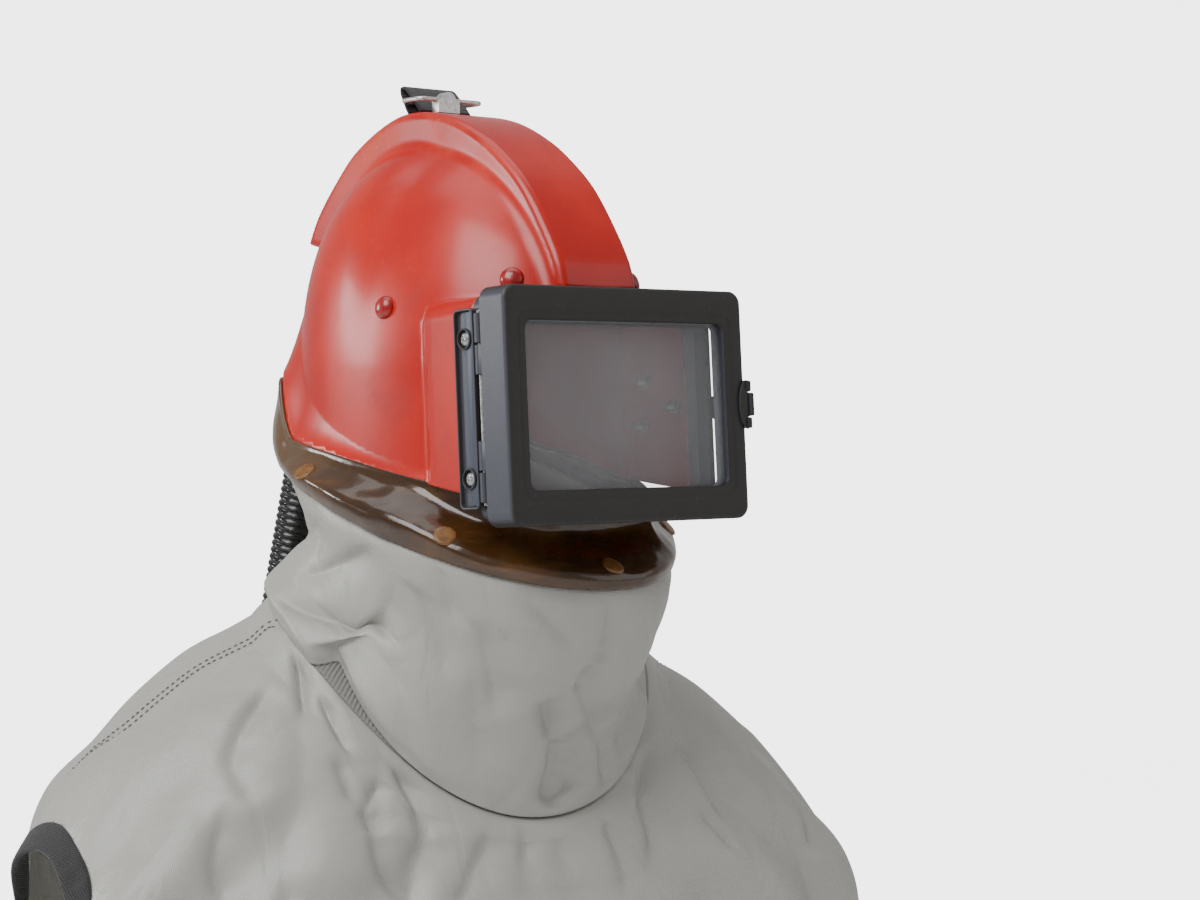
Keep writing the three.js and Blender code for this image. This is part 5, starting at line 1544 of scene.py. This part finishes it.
darkThread, lightThread = (12, 11, 13), (34, 32, 35)
paint(shellFinish(), shellBody)
paint(rivetFinish(), *rivets)
paint(frameFinish(), doorShell, windowCarrier, latchEars, latchTab)
strip = speckled("bracket_grey", (160, 4, 0.6, (1, 1, 0.08)), (60, 65, 78), (92, 98, 112), (0.34, 0.2), 0.00006,
                 Metallic=0.35)
zinc = speckled("zinc_plate", (420, 5, 0.65), (142, 144, 146), (206, 206, 202), (0.24, 0.3), 0.00006, (0.3, 0.72),
                (130, 0.58, 0.75, 0.5, (116, 104, 84)), Metallic=0.92)
nickel = speckled("white_metal", (300, 4, 0.6), (196, 196, 194), (232, 232, 228), (0.22, 0.24), 0.00008, (0.35, 0.7),
                  (170, 0.6, 0.76, 0.45, (128, 122, 112)), Metallic=0.8)
ring = speckled("ring_grey", (500, 4, 0.6), (104, 108, 118), (140, 144, 152), (0.42, 0.16), 0.0001)
tan = speckled("tan_snap", (260, 4, 0.6), (104, 68, 28), (138, 94, 44), (0.3, 0.2), 0.0001, (0.3, 0.7), Coat_Weight=0.2)
paint(strip, *bracketStrips)
paint(zinc, *bracketScrews, *innerBolts, latchPin, hingePin)
paint(nickel, strapWire, strapLug)
paint(paneFinish(), outerPane, backPane)
paint(ring, retainerRing)
paint(collarFinish(), neckCollar)
paint(tan, *studs)
paint(clothFinish(), sleeveCloth, capeCloth)
paint(bandFinish(), ribBand)
paint(threadFinish(), *shoulderStitches)
paint(webbingFinish("binding_tape", darkThread, (28, 26, 29), 330), *armBindings)
paint(webbingFinish("strap_tape", darkThread, lightThread, 300), strapWebbing)
paint(hoseFinish(), airHose)
paint(couplingFinish(), airSocket, airCoupling)
print("materials done")

# stage

stage = {"floor": -0.80, "wide": 9.0, "near": -9.0, "back": 2.6, "bend": 1.0, "tall": 3.4,
         "glow": 3.6, "world": 0.32, "aim": (0, -0.02, -0.25)}


def makeStage():
    # a floor that bends up into a backdrop, square to the camera
    turn = np.linspace(0, np.pi / 2, 24)
    back, bend = stage["back"], stage["bend"]
    run = np.concatenate([[stage["near"], 0], back + bend * np.sin(turn), [back + bend]])
    rise = np.concatenate([[0, 0], bend * (1 - np.cos(turn)), [stage["tall"]]])
    across = np.linspace(-stage["wide"], stage["wide"], 3)
    c, s = np.cos(np.radians(camera["turn"])), np.sin(np.radians(camera["turn"]))
    x = across[None] * c - run[:, None] * s
    y = across[None] * s + run[:, None] * c
    points = np.stack([x, y, np.repeat(rise[:, None], 3, 1) + stage["floor"]], -1)
    mesh = bpy.data.meshes.new("studio_floor")
    faces = gridFaces(*points.shape[:2])
    mesh.from_pydata(points.reshape(-1, 3).tolist(), [], faces[:, ::-1].tolist())
    mesh.polygons.foreach_set("use_smooth", [True] * len(mesh.polygons))
    made = bpy.data.objects.new("studio_floor", mesh)
    scene.collection.objects.link(made)
    f = Finish("studio_paper")
    cloud = f.noise(1.2, 2, 0.5)
    paper = f.between(cloud, (236, 236, 236), (244, 244, 244))
    # an overexposed studio sweep: the camera sees it glow, the hood is lit by plain paper only
    seen = f.node("LightPath")["Is Camera Ray"]
    glow = f.between(seen, (0, 0, 0, 1), (1, 1, 1, 1))
    paint(f.close(paper, 0.85, Emission_Color=glow, Emission_Strength=stage["glow"]), made)


lights = {
    # place, width and height, power
    "key_left": ((-1.9, -0.5, 1.8), (1.7, 1.7), 66),
    "rear_left": ((-1.5, 1.45, 0.25), (0.45, 0.6), 13),
    "fill_right": ((1.9, -2.0, 0.6), (2.2, 2.2), 10),
    "top": ((0.1, 0.3, 2.3), (2.4, 1.6), 20),
}


def makeLight(name, place, size, power):
    lamp = bpy.data.lights.new(name, "AREA")
    lamp.shape, lamp.size, lamp.size_y, lamp.energy = "RECTANGLE", *size, power
    holder = bpy.data.objects.new(name, lamp)
    scene.collection.objects.link(holder)
    way = Vector(stage["aim"]) - Vector(place)
    holder.matrix_world = Matrix.Translation(place) @ way.to_track_quat("-Z", "Y").to_matrix().to_4x4()


makeStage()
world = bpy.data.worlds.new("studio")
scene.world = world
world.use_nodes = True
background = world.node_tree.nodes["Background"].inputs
background[0].default_value, background[1].default_value = (1, 1, 1, 1), stage["world"]
for name, values in lights.items():
    makeLight(name, *values)
print("stage done")
